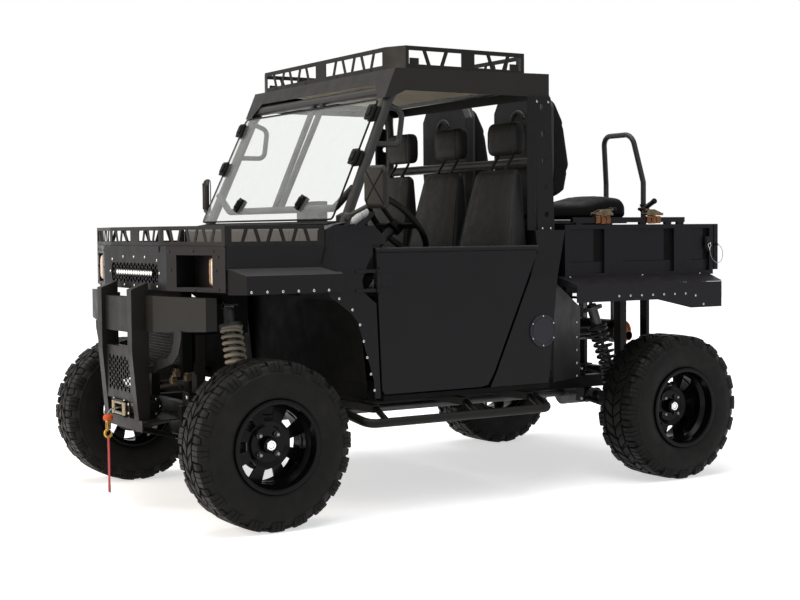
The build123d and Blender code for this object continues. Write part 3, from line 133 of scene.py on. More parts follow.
class Shape:
    """Gathers the corners and faces of one mesh, which may be many closed solids."""

    def __init__(self):
        self.verts = []
        self.faces = []

    def add(self, verts, faces, place=None):
        base = len(self.verts)
        for v in verts:
            self.verts.append(tuple(place @ Vector(v)) if place is not None else tuple(v))
        for face in faces:
            self.faces.append(tuple(base + i for i in face))
        return self

    def box(self, low, high, place=None):
        x0, y0, z0 = low
        x1, y1, z1 = high
        verts = [(x0, y0, z0), (x1, y0, z0), (x1, y1, z0), (x0, y1, z0),
                 (x0, y0, z1), (x1, y0, z1), (x1, y1, z1), (x0, y1, z1)]
        faces = [(0, 3, 2, 1), (4, 5, 6, 7), (0, 1, 5, 4), (1, 2, 6, 5), (2, 3, 7, 6), (3, 0, 4, 7)]
        return self.add(verts, faces, place)

    def prism(self, outline, start, end, axis="x", place=None):
        """A flat outline pushed from start to end along an axis; it is given in the other two."""
        order = {"x": lambda s, p: (s, p[0], p[1]), "y": lambda s, p: (p[0], s, p[1]),
                 "z": lambda s, p: (p[0], p[1], s)}[axis]
        n = len(outline)
        verts = [order(start, p) for p in outline] + [order(end, p) for p in outline]
        faces = [tuple(range(n))[::-1], tuple(range(n, 2 * n))]
        faces += [(i, (i + 1) % n, n + (i + 1) % n, n + i) for i in range(n)]
        return self.add(verts, faces, place)

    def lathe(self, profile, place, steps=32, closed=False):
        """A profile of (along, radius) turned about the local Z axis; its ends are capped."""
        rings = [[around(radius, a, along) for a in turns(steps)] for along, radius in profile]
        return self.skin(rings, closed, place)

    def pipe(self, points, radius, steps=12, loop=False, flat=None):
        """A tube along points; flat is (half-width, half-thickness) for a strip with an oval section."""
        points = [Vector(p) for p in points]
        n = len(points)
        rings = []
        across = None
        for i, p in enumerate(points):
            before = points[i - 1] if i > 0 or loop else p
            after = points[(i + 1) % n] if i < n - 1 or loop else p
            direction = (after - before).normalized()
            if across is None:
                across, up = cross_section_frame(direction)
            across = (across - direction * across.dot(direction)).normalized()
            up = across.cross(direction).normalized()
            wide, thick = flat if flat else (radius, radius)
            rings.append([p + across * (wide * math.cos(a)) + up * (thick * math.sin(a))
                          for a in turns(steps)])
        return self.skin(rings, loop, clockwise=True)

    def skin(self, rings, closed=False, place=None, clockwise=False):
        """A solid through rings of as many points each. closed joins its last ring to its first;
        otherwise both ends are capped. clockwise tells which way round the rings run."""
        count, n = len(rings), len(rings[0])
        first, last = tuple(range(n)), tuple((count - 1) * n + k for k in range(n))
        faces = []
        for i in range(count if closed else count - 1):
            here, there = i * n, (i + 1) % count * n
            faces += [(here + k, here + (k + 1) % n, there + (k + 1) % n, there + k) for k in range(n)]
        caps = [first[::-1], last]
        if clockwise:
            faces = [(a, d, c, b) for a, b, c, d in faces]
            caps = [first, last[::-1]]
        return self.add([point for ring in rings for point in ring], faces + (caps if not closed else []),
                        place)

    def ball(self, centre, radius, steps, squash=(1, 1, 1)):
        """A ball of flat-ended rows, squashed along each axis by its share."""
        verts, faces = [], []
        rows = steps // 2
        for r in range(1, rows):
            polar = math.pi * r / rows
            verts += [around(math.sin(polar), a, math.cos(polar)) for a in turns(steps)]
        top, bottom = len(verts), len(verts) + 1
        verts += [(0, 0, 1), (0, 0, -1)]
        for r in range(rows - 2):
            for k in range(steps):
                a, b = r * steps + k, r * steps + (k + 1) % steps
                faces.append((a, a + steps, b + steps, b))
        for k in range(steps):
            faces.append((top, k, (k + 1) % steps))
            low = (rows - 2) * steps
            faces.append((bottom, low + (k + 1) % steps, low + k))
        c = Vector(centre)
        moved = [c + Vector(v[i] * squash[i] * radius for i in range(3)) for v in verts]
        return self.add(moved, faces)

    def reflection(self):
        """The corners and faces of this shape's image on the vehicle's other side."""
        return [(-x, y, z) for x, y, z in self.verts], [face[::-1] for face in self.faces]

    def mirrored(self):
        """A copy on the vehicle's other side is added to this shape."""
        return self.add(*self.reflection())

    def piece(self, name, paint, body="chassis", smooth=35, slot=None, replaces=(), bevel=None):
        """The finished Blender object. Edges sharper than smooth (degrees) stay crisp; bevel is
        the width that they are rounded by, or (width, segments, degrees)."""
        mesh = bpy.data.meshes.new(name)
        mesh.from_pydata([tuple(v) for v in self.verts], [], self.faces)
        mesh.materials.append(PAINT[paint])
        soften(mesh, smooth)
        obj = bpy.data.objects.new(name, mesh)
        bpy.context.scene.collection.objects.link(obj)
        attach(obj, body)
        if replaces:
            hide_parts(*replaces)
        if bevel:
            bevelled(obj, *(bevel if isinstance(bevel, tuple) else (bevel,)))
        return obj


def soften(mesh, degrees):
    """Shades a mesh smooth, with the edges sharper than this angle kept crisp."""
    work = bmesh.new()
    work.from_mesh(mesh)
    bmesh.ops.recalc_face_normals(work, faces=work.faces)
    limit = math.radians(degrees)
    for face in work.faces:
        face.smooth = True
    for edge in work.edges:
        edge.smooth = len(edge.link_faces) == 2 and edge.calc_face_angle(0) < limit
    work.to_mesh(mesh)
    work.free()


def bevelled(obj, width, segments=2, degrees=35):
    """Rounds the edges of a piece."""
    modifier = obj.modifiers.new("edges", "BEVEL")
    modifier.width = width
    modifier.segments = segments
    modifier.limit_method = "ANGLE"
    modifier.angle_limit = math.radians(degrees)
    modifier.harden_normals = False
    return obj


def axis_place(at, direction):
    """A matrix that puts the local Z axis along a direction, at a point."""
    turn = Vector((0, 0, 1)).rotation_difference(Vector(direction).normalized())
    return Matrix.Translation(at) @ turn.to_matrix().to_4x4()


def circle_points(centre, radius, normal, steps):
    """Evenly spaced points round a circle."""
    across, up = cross_section_frame(Vector(normal))
    return [round_point(Vector(centre), across, up, radius, a) for a in turns(steps)]


def along_path(points, count):
    """Evenly spaced points on a polyline."""
    lengths = [(b - a).length for a, b in zip(points, points[1:])]
    total = sum(lengths)
    spaced = []
    for k in range(count):
        left = total * k / (count - 1)
        for a, b, length in zip(points, points[1:], lengths):
            if left <= length + 1e-9:
                spaced.append(a.lerp(b, min(left / length, 1)))
                break
            left -= length
    return spaced


def rounded_path(points, radius, steps=6):
    """A polyline whose corners are replaced with arcs."""
    points = [Vector(p) for p in points]
    path = [points[0]]
    for before, corner, after in zip(points, points[1:], points[2:]):
        a, b = (before - corner), (after - corner)
        reach = min(radius, a.length * 0.45, b.length * 0.45)
        start, end = corner + a.normalized() * reach, corner + b.normalized() * reach
        for k in range(steps + 1):
            t = k / steps
            path.append(start * (1 - t) ** 2 + corner * (2 * t * (1 - t)) + end * t**2)
    path.append(points[-1])
    return path


# ---- materials -----------------------------------------------------------------------------
def srgb(red, green, blue):
    """A screen colour, 0 to 255, as the linear colour that the shaders take."""
    linear = []
    for value in (red, green, blue):
        share = value / 255
        linear.append(share / 12.92 if share <= 0.04045 else ((share + 0.055) / 1.055) ** 2.4)
    return (*linear, 1.0)


GRAIN_DEPTH = 0.00015  # of a moulded or painted face
EDGE_SAMPLES = 4


class Nodes:
    """A material's node tree, with short ways to add and join nodes."""

    def __init__(self, name):
        self.material = bpy.data.materials.new(name)
        self.material.use_nodes = True
        self.tree = self.material.node_tree
        self.shader = self.tree.nodes["Principled BSDF"]
        self.output = self.tree.nodes["Material Output"]
        self.place = self.add("ShaderNodeTexCoord").outputs["Object"]

    def add(self, kind, **inputs):
        node = self.tree.nodes.new(kind)
        for key, value in inputs.items():
            self.put(value, node.inputs[key.replace("_", " ")])
        return node

    def put(self, value, socket):
        """Joins a socket to this one, or sets it to a constant."""
        if isinstance(value, bpy.types.NodeSocket):
            self.tree.links.new(value, socket)
        else:
            socket.default_value = value

    def set(self, **inputs):
        """Sets or joins the shader's own sockets."""
        for key, value in inputs.items():
            self.put(value, self.shader.inputs[key.replace("_", " ")])

    def noise(self, scale, detail):
        node = self.add("ShaderNodeTexNoise", Vector=self.place, Scale=scale, Detail=detail)
        return node.outputs["Fac"]

    def spread(self, value, low, high, from_low=0.3, from_high=0.7):
        """A 0 to 1 value mapped to a range."""
        node = self.add("ShaderNodeMapRange")
        self.put(value, node.inputs["Value"])
        ends = {"From Min": from_low, "From Max": from_high, "To Min": low, "To Max": high}
        for socket, number in ends.items():
            node.inputs[socket].default_value = number
        return node.outputs["Result"]

    def math(self, operation, a, b):
        node = self.tree.nodes.new("ShaderNodeMath")
        node.operation = operation
        self.put(a, node.inputs[0])
        self.put(b, node.inputs[1])
        return node.outputs[0]

    def mix(self, share, a, b):
        """A colour between a and b."""
        node = self.tree.nodes.new("ShaderNodeMix")
        node.data_type = "RGBA"
        self.put(share, node.inputs["Factor"])
        self.put(a, node.inputs["A"])
        self.put(b, node.inputs["B"])
        return node.outputs["Result"]

    def bump(self, height, depth, strength, normal=None):
        node = self.tree.nodes.new("ShaderNodeBump")
        node.inputs["Strength"].default_value = strength
        node.inputs["Distance"].default_value = depth
        self.put(height, node.inputs["Height"])
        if normal is not None:
            self.put(normal, node.inputs["Normal"])
        return node.outputs["Normal"]

    def rounded_edge(self, radius):
        """(the softened normal, a mask that is 1 along sharp edges)."""
        bevel = self.tree.nodes.new("ShaderNodeBevel")
        bevel.samples = EDGE_SAMPLES
        bevel.inputs["Radius"].default_value = radius
        true_normal = self.tree.nodes.new("ShaderNodeNewGeometry").outputs["Normal"]
        dot = self.tree.nodes.new("ShaderNodeVectorMath")
        dot.operation = "DOT_PRODUCT"
        self.put(bevel.outputs["Normal"], dot.inputs[0])
        self.put(true_normal, dot.inputs[1])
        return bevel.outputs["Normal"], self.spread(dot.outputs["Value"], 1.0, 0.0, 0.75, 0.98)


def shade(colour, factor):
    """A colour made darker or lighter by a factor."""
    return tuple(min(c * factor, 1.0) for c in colour[:3]) + (1.0,)


def surface(name, colour, roughness, metallic=0.0, mottle=0.14, mottle_scale=5.0, grain_scale=1500.0,
            grain=0.35, wear=1.5, edge=0.0014, rough_spread=0.08, specular=0.2, dust_and_lit_top=None):
    """A hard or moulded finish: mottled colour, fine grain, softened edges that have rubbed lighter.
    The last argument paints a highlight: the lighter colour laid on faces that look upwards, where light
    from above falls."""
    n = Nodes(name)
    broad = n.noise(mottle_scale, 4.0)
    fine = n.noise(grain_scale, 2.0)
    base = n.mix(n.spread(broad, 0.0, 1.0), shade(colour, 1 - mottle), shade(colour, 1 + mottle))
    # painted highlight: faces that look upwards are mixed towards a lighter colour
    if dust_and_lit_top:
        facing = n.tree.nodes.new("ShaderNodeSeparateXYZ")
        n.put(n.tree.nodes.new("ShaderNodeNewGeometry").outputs["True Normal"], facing.inputs[0])
        base = n.mix(n.spread(facing.outputs["Z"], 0.0, 1.0, 0.8, 0.98), base, dust_and_lit_top)
    normal = None
    if edge:
        normal, rubbed = n.rounded_edge(edge)
        scuffed = n.math("MULTIPLY", rubbed, n.spread(n.noise(90.0, 4.0), 0.25, 0.9, 0.35, 0.65))
        base = n.mix(scuffed, base, shade(colour, wear))
    skin = n.bump(fine, GRAIN_DEPTH, grain, normal)
    smudges = n.spread(n.noise(mottle_scale * 3.1, 5.0), roughness - rough_spread, roughness + rough_spread)
    n.set(Base_Color=base, Normal=skin, Roughness=smudges, Metallic=metallic,
          Specular_IOR_Level=0.5 if metallic > 0.5 else specular)
    return n.material


def rubber(name, colour, roughness):
    """Tyre rubber: matt, faintly dusted, with a fine skin."""
    n = Nodes(name)
    dust = n.noise(14.0, 6.0)
    fine = n.noise(2200.0, 2.0)
    # real dust on the rubber, mixed in by a broad noise
    dust_and_lit_top = n.mix(n.spread(dust, 0.0, 0.22, 0.5, 0.8), colour, srgb(52, 48, 40))
    n.set(Base_Color=dust_and_lit_top, Roughness=n.spread(n.noise(30.0, 4.0), roughness - 0.1, roughness + 0.1),
          Normal=n.bump(fine, 0.0002, 0.4, n.rounded_edge(0.0012)[0]), Specular_IOR_Level=0.11)
    return n.material


def woven(name, colour, thread, second=None):
    """Cloth or webbing: two crossed sets of threads, with a soft sheen."""
    n = Nodes(name)
    waves = []
    for direction in ("X", "Y", "Z"):
        wave = n.add("ShaderNodeTexWave", Vector=n.place, Scale=1.0 / thread / 3.2, Distortion=0.6)
        wave.bands_direction = direction
        waves.append(wave.outputs["Fac"])
    crossed = n.math("MULTIPLY", n.math("ADD", waves[0], waves[1]), n.math("ADD", waves[2], 0.4))
    tint = n.mix(n.spread(crossed, 0.0, 1.0, 0.2, 1.6), shade(colour, 0.72), shade(colour, 1.2))
    patches = n.mix(n.spread(n.noise(9.0, 4.0), 0.0, 0.5), tint, second or shade(colour, 0.85))
    n.set(Base_Color=patches, Normal=n.bump(crossed, 0.0004, 0.5),
          Roughness=n.spread(n.noise(60.0, 2.0), 0.78, 0.95), Sheen_Weight=0.25, Specular_IOR_Level=0.3)
    return n.material


def leather(name, colour, roughness=0.56, specular=0.2):
    """Seat vinyl: small pebbles from a cell pattern, with soft wear."""
    n = Nodes(name)
    cells = n.add("ShaderNodeTexVoronoi", Vector=n.place, Scale=420.0)
    pebbles = cells.outputs["Distance"]
    broad = n.noise(11.0, 5.0)
    tint = n.mix(n.spread(broad, 0.0, 1.0), shade(colour, 0.92), shade(colour, 1.1))
    n.set(Base_Color=tint, Normal=n.bump(pebbles, 0.0005, 0.45), Specular_IOR_Level=specular,
          Roughness=n.spread(n.noise(26.0, 4.0), roughness - 0.06, roughness + 0.08))
    return n.material


def lens(name, colour, glow=0.0):
    """A glossy moulded lens with fine flutes."""
    n = Nodes(name)
    flutes = n.add("ShaderNodeTexWave", Vector=n.place, Scale=90.0)
    flutes.bands_direction = "Z"
    tint = n.mix(flutes.outputs["Fac"], shade(colour, 0.8), shade(colour, 1.1))
    n.set(Base_Color=tint, Normal=n.bump(flutes.outputs["Fac"], 0.0008, 0.5),
          Roughness=0.12, Coat_Weight=0.6)
    if glow:
        n.set(Emission_Color=tint, Emission_Strength=glow)
    return n.material


def clear_pane(name, tint, body):
    """Thin hard-coated sheet: mostly see-through, glossier at a glance."""
    n = Nodes(name)
    n.tree.nodes.remove(n.shader)
    through = n.add("ShaderNodeBsdfTransparent", Color=tint)
    gloss = n.add("ShaderNodeBsdfGlossy", Roughness=0.03)
    haze = n.spread(n.noise(12.0, 4.0), body * 0.6, body * 1.4)
    veil = n.add("ShaderNodeBsdfDiffuse", Color=srgb(205, 210, 212))
    facing = n.add("ShaderNodeLayerWeight", Blend=0.5).outputs["Facing"]
    glance = n.math("ADD", n.math("MULTIPLY", n.math("POWER", facing, 5.0), 0.9), 0.035)
    hazy = n.tree.nodes.new("ShaderNodeMixShader")
    n.put(haze, hazy.inputs[0])
    n.put(through.outputs[0], hazy.inputs[1])
    n.put(veil.outputs[0], hazy.inputs[2])
    mixed = n.tree.nodes.new("ShaderNodeMixShader")
    n.put(glance, mixed.inputs[0])
    n.put(hazy.outputs[0], mixed.inputs[1])
    n.put(gloss.outputs[0], mixed.inputs[2])
    n.put(mixed.outputs[0], n.output.inputs["Surface"])
    return n.material


PAINT = {
    # the panels carry a painted highlight on their upward faces, lighter where light from above falls
    "panel": surface("panel_plastic", srgb(22, 21, 23), 0.4, mottle=0.06, wear=2.2, specular=0.12,
                     dust_and_lit_top=srgb(68, 67, 68)),
    "roof": surface("roof_plastic", srgb(31, 29, 27), 0.42, mottle=0.07, wear=1.5, specular=0.16),
    "steel": surface("black_powder_coat", srgb(24, 23, 21), 0.44, mottle=0.08, wear=2.0, specular=0.14),
    "cage": surface("cage_coat", srgb(46, 46, 45), 0.36, mottle=0.1, wear=1.6),
    "rim": surface("gloss_black_rim", srgb(8, 8, 8), 0.2, mottle=0.1, grain=0.06, wear=2.0, specular=0.1),
    "bed": surface("bed_plastic", srgb(18, 18, 22), 0.42, mottle=0.07, wear=2.0, specular=0.12),
    "inner": surface("inner_plastic", srgb(13, 13, 12), 0.62, mottle=0.12, wear=1.4, specular=0.06),
    "dash": surface("dash_plastic", srgb(30, 30, 31), 0.55, mottle=0.1, wear=1.5, grain_scale=900.0),
    "cast": surface("cast_metal", srgb(84, 84, 85), 0.5, metallic=0.8, grain_scale=500.0, wear=1.4),
    "chrome": surface("polished_steel", srgb(214, 214, 216), 0.16, metallic=1.0, grain=0.08, wear=1.05),
    "zinc": surface("zinc_screw", srgb(176, 176, 172), 0.3, metallic=1.0, grain=0.1, edge=0, wear=1.1),
    "dark_screw": surface("dark_screw", srgb(22, 22, 23), 0.35, metallic=0.4, edge=0),
    "spring": surface("spring_paint", srgb(158, 150, 132), 0.42, mottle=0.14, edge=0),
    "dark_spring": surface("dark_spring", srgb(40, 40, 41), 0.4, mottle=0.12, edge=0),
    "cowl": surface("cowl_plastic", srgb(92, 91, 89), 0.5, mottle=0.05, wear=1.4, specular=0.2),
    "nut": surface("dull_nut", srgb(126, 126, 122), 0.36, metallic=1.0, grain=0.1, edge=0),
    "flare": surface("flare_plastic", srgb(25, 23, 26), 0.42, mottle=0.06, wear=2.0, specular=0.13),
    "roller": surface("worn_roller", srgb(140, 128, 108), 0.3, metallic=1.0, grain=0.1, mottle=0.2, edge=0),
    "cover": surface("cover_plastic", srgb(38, 37, 43), 0.4, mottle=0.06, wear=1.8, specular=0.2),
    "buckle": surface("worn_buckle", srgb(92, 82, 62), 0.36, metallic=0.7, mottle=0.4, mottle_scale=60.0),
    "brass": surface("brass_hook", srgb(176, 136, 58), 0.36, metallic=0.75, mottle=0.25, wear=1.3),
    "copper": surface("hot_pipe", srgb(150, 92, 62), 0.38, metallic=0.85, mottle=0.35, mottle_scale=22.0),
    "orange": surface("orange_rubber", srgb(196, 86, 42), 0.6, mottle=0.14),
    "rope": surface("steel_rope", srgb(132, 132, 130), 0.42, metallic=0.7, grain_scale=2600.0, edge=0),
    "seat_shell": surface("seat_shell", srgb(44, 44, 46), 0.55, mottle=0.1, wear=1.6, specular=0.25),
    # one pale grey for the washer bottle's own colour and for the painted highlight on the rear shells' top
    # facets
    "facet": surface("bottle_grey_and_lit_facet", srgb(122, 124, 126), 0.5, mottle=0.16, mottle_scale=30.0, edge=0),
    "liner": surface("liner_foam", srgb(196, 186, 164), 0.85, mottle=0.08, grain_scale=700.0, edge=0),
    "screen": surface("dark_screen", srgb(10, 12, 16), 0.12, mottle=0.02, grain=0.02, edge=0, specular=0.5),
    "sensor": surface("pale_plastic", srgb(210, 210, 206), 0.5, mottle=0.05, edge=0.0008),
    "tyre": rubber("tyre_rubber", srgb(17, 17, 16), 0.52),
    "grip": rubber("grip_rubber", srgb(14, 14, 14), 0.58),
    "strap": woven("red_webbing", srgb(158, 20, 24), 0.0016),
    "ratchet_web": woven("orange_webbing", srgb(150, 88, 34), 0.0014, srgb(60, 38, 26)),
    "cloth": woven("seat_cloth", srgb(34, 34, 35), 0.0018),
    "vinyl": leather("seat_vinyl", srgb(24, 23, 23)),
    # a darker, less glossy copy of the seat vinyl: painted shade for the rear pads
    "shaded_pad_vinyl": leather("shaded_pad_vinyl", srgb(8, 8, 8), 0.62, 0.08),
    "amber": lens("amber_lens", srgb(128, 90, 48)),
    "red_lens": lens("red_lens", srgb(140, 16, 14)),
    "white_lens": lens("white_lens", srgb(226, 208, 190)),
    "led": lens("lit_diffuser", srgb(246, 246, 244), glow=0.5),
    "mirror": surface("mirror_silver", srgb(225, 228, 230), 0.04, metallic=1.0, grain=0.02, edge=0,
                      mottle=0.01, rough_spread=0.01),
    "pane": clear_pane("clear_pane", srgb(250, 251, 250), 0.05),
}

NODE_PAINT = {
    "panel": ["hood", "nose_panel", "left_front_panel", "right_front_panel", "left_door", "right_door",
              "rear_side_panels", "mirrors", "grille_mesh"],
    "flare": ["rear_flares"],
    "cover": ["side_covers"],
    "roof": ["roof"],
    "steel": ["frame_rails", "cross_members", "receiver", "shock_towers", "bull_bar", "side_steps",
              "front_arms", "rear_arms", "hood_rack", "roof_rack", "winch", "steering_rack", "muffler"],
    "cage": ["cage", "grab_bar"],
    "rim": ["front_left_rim", "front_right_rim", "rear_left_rim", "rear_right_rim"],
    "bed": ["bed", "tailgate"],
    "inner": ["arch_liners", "cab_floor"],
    "dash": ["dashboard"],
    "cast": ["left_knuckle", "right_knuckle", "driveline", "engine_block", "dampers"],
    "spring": ["springs"],
    "seat_shell": ["rear_seat_shells"],
    "tyre": ["front_left_tyre", "front_right_tyre", "rear_left_tyre", "rear_right_tyre"],
    "grip": ["steering_wheel"],
    "rope": ["winch_rope", "gate_lanyard"],
    "brass": ["winch_hook"],
    "strap": ["pull_strap"],
    "amber": ["headlamps"],
    "red_lens": ["tail_lamps"],
    "led": ["light_bar"],
    "vinyl": ["seat_cushions", "seat_backs", "headrests", "rear_seat_pads"],
    "pane": ["windshield"],
}


def paint_nodes():
    """Every CAD node gets its finish."""
    for paint, names in NODE_PAINT.items():
        for name in names:
            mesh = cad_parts[name].data
            mesh.materials.clear()
            mesh.materials.append(PAINT[paint])


# ---- stage: floor, background and lights ---------------------------------------------------
FLOOR_HALF = 14
FLOOR_GLOW = 0.58
GLOW_REACH = (2.3, 4.6)  # from the vehicle's middle, where the floor turns to plain white
AMBIENT = 0.3  # the world's light on the pieces
LAMPS = [  # name, place, aim, size, power in watts, colour
    ("overhead", (0.5, -0.5, 5.2), (0, 0, 1), (5.0, 6.0), 330, (1.0, 0.985, 0.97)),
    ("front_box", (-0.8, -6.5, 2.6), (0, -1, 1), (4.0, 3.0), 262, (1.0, 0.86, 0.70)),
    ("side_box", (6.5, -0.5, 2.4), (0, 0, 0.9), (5.0, 2.5), 26, (0.86, 0.88, 1.0)),
]


def directly_seen(tree):
    """1 for the rays that come from the camera, straight or by way of glass or polish."""
    path = tree.nodes.new("ShaderNodeLightPath")
    seen = path.outputs["Is Camera Ray"]
    for ray in ("Is Transmission Ray", "Is Glossy Ray"):
        either = tree.nodes.new("ShaderNodeMath")
        either.operation = "MAXIMUM"
        tree.links.new(seen, either.inputs[0])
        tree.links.new(path.outputs[ray], either.inputs[1])
        seen = either.outputs[0]
    return seen


def add_stage():
    """A pale floor that keeps the shadow, a white background and soft lamps."""
    far = FLOOR_HALF
    mesh = bpy.data.meshes.new("floor")
    mesh.from_pydata([(-far, -far, 0), (far, -far, 0), (far, far, 0), (-far, far, 0)], [], [(0, 1, 2, 3)])
    n = Nodes("pale_floor")
    n.tree.nodes.remove(n.shader)
    matt = n.add("ShaderNodeBsdfDiffuse", Color=(0.86, 0.86, 0.86, 1))
    glow = n.add("ShaderNodeEmission", Color=(1, 1, 1, 1))
    seen = directly_seen(n.tree)
    reach = n.tree.nodes.new("ShaderNodeVectorMath")
    reach.operation = "LENGTH"
    n.put(n.place, reach.inputs[0])
    rising = n.spread(reach.outputs["Value"], FLOOR_GLOW, 1.0, *GLOW_REACH)
    n.put(n.math("MULTIPLY", seen, rising), glow.inputs["Strength"])
    both = n.tree.nodes.new("ShaderNodeAddShader")
    n.put(matt.outputs[0], both.inputs[0])
    n.put(glow.outputs[0], both.inputs[1])
    n.put(both.outputs[0], n.output.inputs["Surface"])
    mesh.materials.append(n.material)
    obj = bpy.data.objects.new("floor", mesh)
    bpy.context.scene.collection.objects.link(obj)

    world = bpy.data.worlds.new("studio")
    world.use_nodes = True
    bpy.context.scene.world = world
    tree = world.node_tree
    ambient = tree.nodes["Background"]
    ambient.inputs["Color"].default_value = (0.9, 0.93, 1.0, 1)
    ambient.inputs["Strength"].default_value = AMBIENT
    white = tree.nodes.new("ShaderNodeBackground")
    white.inputs["Color"].default_value = (1, 1, 1, 1)
    white.inputs["Strength"].default_value = 1.0
    seen = directly_seen(tree)
    mixed = tree.nodes.new("ShaderNodeMixShader")
    tree.links.new(seen, mixed.inputs[0])
    tree.links.new(ambient.outputs[0], mixed.inputs[1])
    tree.links.new(white.outputs[0], mixed.inputs[2])
    tree.links.new(mixed.outputs[0], tree.nodes["World Output"].inputs["Surface"])

    for name, at, aim, size, power, tint in LAMPS:
        data = bpy.data.lights.new(name, "AREA")
        data.color = tint
        data.shape = "RECTANGLE"
        data.size, data.size_y = size
        data.energy = power
        lamp = bpy.data.objects.new(name, data)
        direction = Vector(aim) - Vector(at)
        lamp.rotation_euler = direction.to_track_quat("-Z", "Y").to_euler()
        lamp.location = at
        bpy.context.scene.collection.objects.link(lamp)


# ---- cords ---------------------------------------------------------------------------------
ROPE_ROUTE = [  # from the drum through the fairlead, over its lower roller and down to the stopper
    (0.0, -1.374, 0.446), (0.0, -1.412, 0.443), (0.0, -1.448, 0.441), (0.0, -1.477, 0.435),
    (0.0, -1.483, 0.4155),
]
ROPE_D = 0.008
ROPE_STRANDS = 3
ROPE_LAY = 0.030  # the length in which a strand goes once round
ROPE_STRAND_SHARE = 0.26  # a strand's radius as a share of the rope's diameter
STRAP_ROUTE = [(0.0, -1.483, 0.315), (0.0, -1.483, 0.236), (0.0, -1.483, 0.157), (0.0, -1.483, 0.078)]
STRAP_W = 0.025
STRAP_T = 0.003
LANYARD_ROUTE = [  # from the eyelet on the tailgate's edge, down, round and up to the latch pin
    (0.6905, 1.420, 1.111), (0.695, 1.436, 1.101), (0.698, 1.445, 1.079), (0.698, 1.446, 1.054),
    (0.698, 1.438, 1.032), (0.698, 1.421, 1.021), (0.698, 1.402, 1.021), (0.698, 1.385, 1.031),
    (0.697, 1.371, 1.048), (0.696, 1.362, 1.072), (0.696, 1.359, 1.097),
]
LANYARD_D = 0.003


def route_line(points, name):
    """Points along the smooth line of a route."""
    curve = route_curve(points, name)
    obj = bpy.data.objects.new(name, curve)
    mesh = bpy.data.meshes.new_from_object(obj)
    line = [v.co.copy() for v in mesh.vertices]
    bpy.data.objects.remove(obj)
    bpy.data.meshes.remove(mesh)
    return line


def route_curve(points, name):
    """A smooth curve that a route's points draw."""
    curve = bpy.data.curves.new(name, "CURVE")
    curve.dimensions = "3D"
    spline = curve.splines.new("NURBS")
    spline.points.add(len(points) - 1)
    for point, at in zip(spline.points, points):
        point.co = (*at, 1.0)
    spline.order_u = 3
    spline.use_endpoint_u = True
    spline.resolution_u = 16
    return curve


def add_rope():
    """The winch's laid rope: three strands twisted round the route's line."""
    line = route_line(ROPE_ROUTE, "rope_line")
    spaced = along_path(line, 90)
    strands = Shape()
    strand_r = ROPE_D * ROPE_STRAND_SHARE
    travelled = 0.0
    centres = [[] for _ in range(ROPE_STRANDS)]
    for i, p in enumerate(spaced):
        if i:
            travelled += (p - spaced[i - 1]).length
        ahead = spaced[min(i + 1, len(spaced) - 1)] - spaced[max(i - 1, 0)]
        across = Vector((1, 0, 0))
        up = across.cross(ahead).normalized()
        for k, centre in enumerate(centres):
            angle = 2 * math.pi * (travelled / ROPE_LAY + k / ROPE_STRANDS)
            centre.append(round_point(p, across, up, ROPE_D / 2 - strand_r, angle))
    for centre in centres:
        strands.pipe(centre, strand_r, 8)
    rope = strands.piece("winch_rope_strands", "rope", smooth=60, slot="rope_steel", replaces=["winch_rope"])


def add_strap():
    """The pull strap: flat webbing with folded, stitched ends."""
    line = route_line(STRAP_ROUTE, "strap_line")
    spaced = along_path(line, 40)
    half = STRAP_W / 2
    flat = half * 0.92  # out to where the edges are rounded off
    rings = []
    for i, p in enumerate(spaced):
        doubled = 0.0007 if i < 8 or i > len(spaced) - 7 else 0.0
        thick = STRAP_T / 2 - 0.0006 + doubled
        edge = 0.0006 * math.sin(i * 1.9)
        section = [(-half + edge, -thick * 0.5), (-flat, -thick), (flat, -thick),
                   (half - edge, -thick * 0.5),
                   (half - edge, thick * 0.5), (flat, thick), (-flat, thick), (-half + edge, thick * 0.5)]
        rings.append([p + Vector((x, y, 0)) for x, y in section])
    piece = Shape().skin(rings).piece("pull_strap_webbing", "strap", smooth=50, slot="strap_red",
                                      replaces=["pull_strap"])


def add_lanyard():
    """The latch pin's wire, crimped to an eyelet on the gate's edge, and the pin on its far end."""
    line = route_line(LANYARD_ROUTE, "lanyard_line")
    wire = Shape()
    wire.pipe(line, LANYARD_D / 2, 8)
    end = Vector(LANYARD_ROUTE[-1])
    pin = Shape()
    pin.pipe(circle_points(end + Vector((0, 0, 0.009)), 0.009, (1, 0, 0), 24), 0.0016, 8, loop=True)
    pin.lathe([(-0.006, 0.0042), (0.010, 0.0042), (0.012, 0.003)],
              axis_place(end + Vector((0, 0, 0.020)), (-1, 0, 0)), 16)
    crimps = Shape()
    for k, beside in ((0, 1), (-1, -2)):
        at, beside = Vector(LANYARD_ROUTE[k]), Vector(LANYARD_ROUTE[beside])
        crimps.lathe([(0.001, 0.0026), (0.012, 0.0026), (0.013, 0.0019)], axis_place(at, beside - at), 14)
    pin = pin.piece("latch_pin", "zinc", "tailgate", smooth=40)
    crimps = crimps.piece("lanyard_crimps", "zinc", "tailgate", smooth=40)
    piece = wire.piece("gate_lanyard_wire", "rope", "tailgate", smooth=60, slot="wire_steel",
                       replaces=["gate_lanyard"])


# ---- tyres ---------------------------------------------------------------------------------
SIDEWALL = [  # inwards from the widest place, and out from the rim's edge
    (0.022, 0.001), (0.017, 0.008), (0.012, 0.011), (0.008, 0.020), (0.004, 0.040), (0.0012, 0.062),
    (0.0004, 0.082), (0.002, 0.100), (0.0046, 0.112), (0.0044, 0.116), (0.007, 0.118), (0.011, 0.130),
    (0.019, 0.142), (0.034, 0.150),
]
